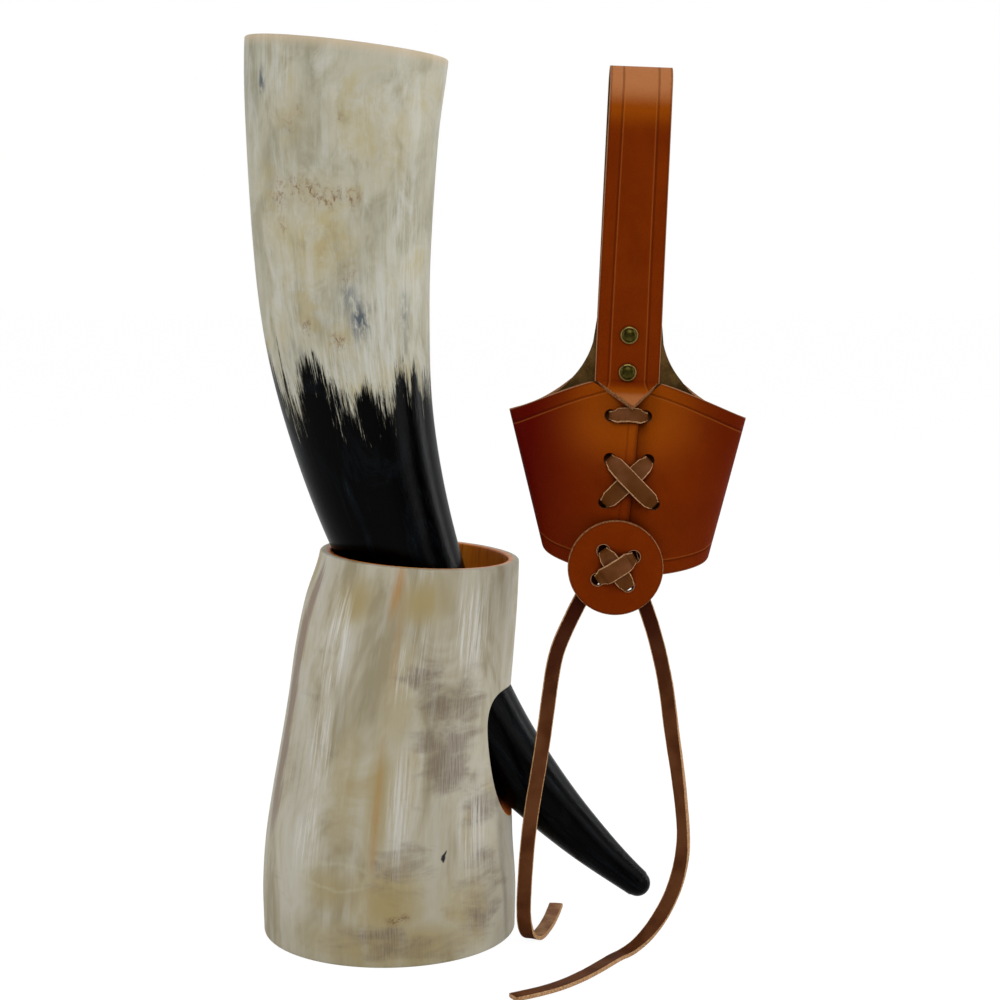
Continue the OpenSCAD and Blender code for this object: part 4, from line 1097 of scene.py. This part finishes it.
def build_button():
    r, t, b = BUTTON_R, BUTTON_T, 0.55
    profile = [(q, 0) for q in np.linspace(0.5, r - b, 16)]
    profile += [(r - b + b * dsin(a), b - b * dcos(a)) for a in (30, 60, 90)]
    profile += [(r, mix(b, t - b, k / 3)) for k in (1, 2, 3)]
    profile += [(r - b + b * dcos(a), t - b + b * dsin(a)) for a in (30, 60, 90)]
    profile += [(q, t) for q in np.linspace(r - b, 0.5, 16)[1:]]
    points, faces = lathe(profile, 144)
    rings = len(profile)
    index = np.repeat([0 if k < 15 or k > 22 else 1 for k in range(rings - 1)], 144).tolist() + [0] * 288
    points = points + [BUTTON_U, -BUTTON_BACK, BUTTON_W]
    piece = solid("leather_button", points, faces, [LEATHER, EDGE], index)
    holes = [button_hole(a, b) for a in (-1, 1) for b in (-1, 1)]
    more, quads = rods(holes, BUTTON_HOLE_R, -BUTTON_BACK - t - 1, -BUTTON_BACK + 1)
    cut(piece, solid("button_holes", more, quads, [LEATHER, EDGE], np.ones(len(quads))))
    at = vertices(piece)
    edge = r - np.hypot(at[:, 0] - BUTTON_U, at[:, 2] - BUTTON_W)
    for u, w in holes:
        edge = np.minimum(edge, np.hypot(at[:, 0] - u, at[:, 2] - w) - BUTTON_HOLE_R)
    paint(piece.data, {
        "edge": np.clip(edge, 0, 3), "seam": edge * 0 + 99, "shade": edge * 0 + 0.06, "glow": edge * 0})
    hang(piece, at)
    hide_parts("button_disc")
    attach(piece, "button")


# ---------------------------------------------------------------- lace
LACE_T, NECK, WIDE = 1.5, 1.5, 3.15
TAIL_HALF, TAIL_LOW, HOLE_ENTRY = WIDE * 0.86, 0.96, 0.6
OFF = GAP + LACE_T / 2
PANEL = LEATHER_T / 2 + LAYER


def ribbon(name, path, halves, wides, cup=0.0, looks=None):
    """A flat lace along a path. Its grain side looks away from the cross of path and width."""
    path, halves = np.asarray(path, float), np.asarray(halves, float)
    along = unit(np.gradient(path, axis=0))
    wide = unit(wides - along * np.sum(wides * along, 1)[:, None])
    face = np.cross(along, wide)
    t, b, q = LACE_T / 2, 0.3, 0.3 * math.sqrt(0.5)
    top = [(f, 0, t) for f in (-1, -0.5, 0, 0.5, 1)]
    right = [(1, q, t - b + q), (1, b, t - b), (1, b, b - t), (1, q, b - t - q)]
    section = top + right + [(-f, -x, -y) for f, x, y in top + right]
    run = distances(path)
    wobble = 1 + 0.007 * np.sin(run * 0.5) + 0.005 * np.sin(run * 1.3 + 1)
    rings, strip = [], []
    for f, ox, oy in section:
        x = f * (halves * wobble - b) + ox
        y = oy + cup * (x / WIDE) ** 2 * clamp((halves - NECK) / (WIDE - NECK))
        rings.append(path + wide * x[:, None] + face * y[:, None])
        strip.append(np.stack([x, run, 0 * x + oy], 1))
    rings, strip = np.stack(rings, 1), np.stack(strip, 1)
    points, faces = tube(rings, [path[0], path[-1]])
    zones = [2] * 4 + [1] * 5 + [0] * 4 + [1] * 5
    index = zones * (len(path) - 1) + [1] * 36
    strip = np.concatenate([strip.reshape(-1, 3), [[0, 0, 0], [0, run[-1], 0]]])
    return solid(name, points, faces, looks or [LACE, LACE_EDGE, LACE_FLESH], index, {"strip": strip})


def front_middle(p):
    """The depth of the sheet's middle surface at a place on the sleeve's front."""
    turn = -dacos((p[0] - sleeve_shift(p[1])) / sleeve_half(p[1]))
    return float(dsin(turn) * sleeve_depth(turn, p[1]))


def flat_on(face, p, way):
    """The direction across a lace that lies on the face and runs that way."""
    across = np.array([way[1], -way[0]])
    at = np.array([p[0], p[2]])
    return [across[0], (face(at + across) - face(at - across)) / 2, across[1]]


def sleeve_face(p):
    return front_middle(p) - PANEL


def strand(name, a, b, face, behind, lift, arch, nodes, body, foot_in=HOLE_ENTRY, slim=1, cup=-0.25):
    """A run of lace from hole a to hole b over a face, out of its holes from so far behind it."""
    way = unit(b - a)
    a, b = a + way * HOLE_ENTRY, b - way * foot_in
    length = np.linalg.norm(b - a)
    steps, depths = [0, 0, LACE_T / 3, LACE_T * 1.1], [behind, -LACE_T / 5, -OFF * 0.8, -OFF]
    widths = [1.85, 1.85, 2.35, 2.95]
    head = [(a + way * s, d) for s, d in zip(steps, depths)]
    foot = [(b - way * s, d) for s, d in zip(steps[::-1], depths[::-1])]
    body_part = []
    for t in (0.24, 0.36, 0.5, 0.64, 0.76):
        at = a + way * length * t + np.array([0, arch * dsin(180 * t)])
        body_part.append((at, -OFF - lift * min(1, 1.15 * dsin(180 * t))))
    path = np.array([[at[0], face(at) + d, at[1]] for at, d in head + body_part + foot])
    widths = [slim * half for half in widths]
    halves = widths + [slim * WIDE] * 5 + widths[::-1]
    per = 6
    halves = np.interp(np.arange((len(path) - 1) * per + 1) / per, np.arange(len(halves)), halves)
    path = refine(path, per)
    wides = np.array([flat_on(face, p, way) for p in path])
    # The holder leans as a whole, so the width leans with it
    piece = ribbon(name, hung(path), halves, hung(wides) - HUNG, cup)
    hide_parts(*nodes)
    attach(piece, body)
    return piece


def inner_run(name, a, b):
    """A run of lace behind the sleeve's front."""
    way = unit(b - a)
    a, b = a - way * WIDE, b + way * WIDE
    line = [mix(a, b, t) for t in np.linspace(0, 1, 31)]
    path = np.array([[at[0], front_middle(at) + PANEL + GAP + OFF, at[1]] for at in line])
    wides = np.array([flat_on(sleeve_face, p, way) for p in path])
    piece = ribbon(name, hung(path), np.full(len(path), WIDE), hung(wides) - HUNG)
    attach(piece, "holder")
    return piece


def build_lacing():
    over = LACE_T + 2.6 * GAP
    behind = 2 * PANEL - GAP
    on = LACE_HOLES
    strand("bar_lace", on[0], on[1], sleeve_face, behind, LACE_T / 3, 0.6, ["lace_bar"], "holder", slim=0.82)
    strand("cross_lace_under", on[3], on[4], sleeve_face, behind, 0, 0, ["lace_cross_under"], "holder")
    strand("cross_lace_over", on[2], on[5], sleeve_face, behind, over, 0, ["lace_cross_over"], "holder")
    for i, side in enumerate(("left", "right")):
        upper = inner_run(f"inner_lace_upper_{side}", on[i], on[2 + i])
        lower = inner_run(f"inner_lace_lower_{side}", on[4 + i], button_hole(2 * i - 1, 1))
        if i == 0:
            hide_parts("lace_inner_upper")
            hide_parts("lace_inner_lower")
    disc = lambda p: -BUTTON_BACK - BUTTON_T
    for across, lift, kind in ((-1, 0, "under"), (1, over, "over")):
        strand(f"button_cross_{kind}", button_hole(across, 1), button_hole(-across, -1), disc, BUTTON_T, lift, 0,
               [f"button_lace_{kind}"], "button", foot_in=-0.4 if kind == "under" else HOLE_ENTRY)


# ---------------------------------------------------------------- lace tails, the free cords
LEFT_ROUTE = [
    [79, -29.3, 151.5], [79, -32.6, 151.5], [78.8, -34.5, 149.6], [78, -34.8, 146], [75, -34.8, 140],
    [71.5, -34.8, 133.5], [66.5, -34, 123], [62.5, -32.8, 113], [60.3, -31, 99], [58.5, -29.2, 84],
    [56.3, -27.2, 68], [53.8, -25.3, 52], [52.2, -23.7, 37], [51.3, -22, 22], [51, -21, 12],
    [51.5, -20.6, 6.5], [53, -20, 2.6], [55.6, -17.5, 0.95], [58, -11, 0.8], [60.5, -1.5, 0.8],
    [62.5, 9, 0.8], [64.2, 20, 0.8]]
RIGHT_ROUTE = [
    [89.6, -29.9, 149.3], [89.6, -32.6, 149.3], [89.7, -34.5, 147.4], [90.2, -34.8, 144],
    [91.6, -34.8, 138], [94, -34.8, 131], [97.2, -34.6, 121.5], [100.2, -34.1, 110], [102.4, -33.7, 99],
    [104.3, -33.2, 84.5], [106.7, -32.6, 69.5], [108.6, -32.1, 54], [109.3, -31.9, 45],
    [109, -31.7, 37.5], [107.4, -31.6, 29], [104.5, -31.6, 20.5], [100.3, -31.6, 12.5],
    [95.3, -31.9, 5.8], [90.5, -33, 1.8], [86, -37, 0.8], [81.5, -43.5, 0.8], [76.4, -51.4, 0.8],
    [68, -62.5, 0.8], [59.3, -70.9, 0.8], [46.7, -78.5, 0.8]]


def tail(name, route, looks_to, start, stop, twist, node):
    """twist turns the face about the path: middle point, reach in points, and degrees."""
    per = 7
    k = np.arange((len(route) - 1) * per + 1) / per
    path = refine(route, per)
    for _ in range(10):
        path[1:-1] = (path[:-2] + 2 * path[1:-1] + path[2:]) / 4
    path[:, 2] = np.maximum(path[:, 2], TAIL_LOW)
    turn = clamp((k - start) / (stop - start))[:, None]
    look = unit(mix(np.array([0.0, -1, 0]), np.array(looks_to, float), turn))
    along = unit(np.gradient(path, axis=0))
    wides = unit(np.cross(along, look))
    wides = mix(np.array([-1.0, 0, 0]), wides, clamp(k - 2)[:, None])
    angle = twist[2] * np.exp(-(((k - twist[0]) / twist[1]) ** 2))[:, None]
    wides = wides * dcos(angle) + np.cross(along, wides) * dsin(angle)
    halves = mix(NECK, TAIL_HALF, clamp((k - 1) / 3))
    piece = ribbon(name, path, halves, wides, -0.2, [TAIL, LACE_EDGE, LACE_FLESH])
    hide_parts(node)
    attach(piece, "holder")
    print(name, "runs", round(float(distances(path)[-1]) * MM, 4))


tail("hanging_tail_left", LEFT_ROUTE, (0, 0, -1), 14, 17, (9, 3, 0), "tail_left")
tail("hanging_tail_right", RIGHT_ROUTE, (0, 0, 1), 13, 19, (11.5, 2.6, 47), "tail_right")
build_horn()
build_stand()
build_holder()
build_rivets()
build_button()
build_lacing()
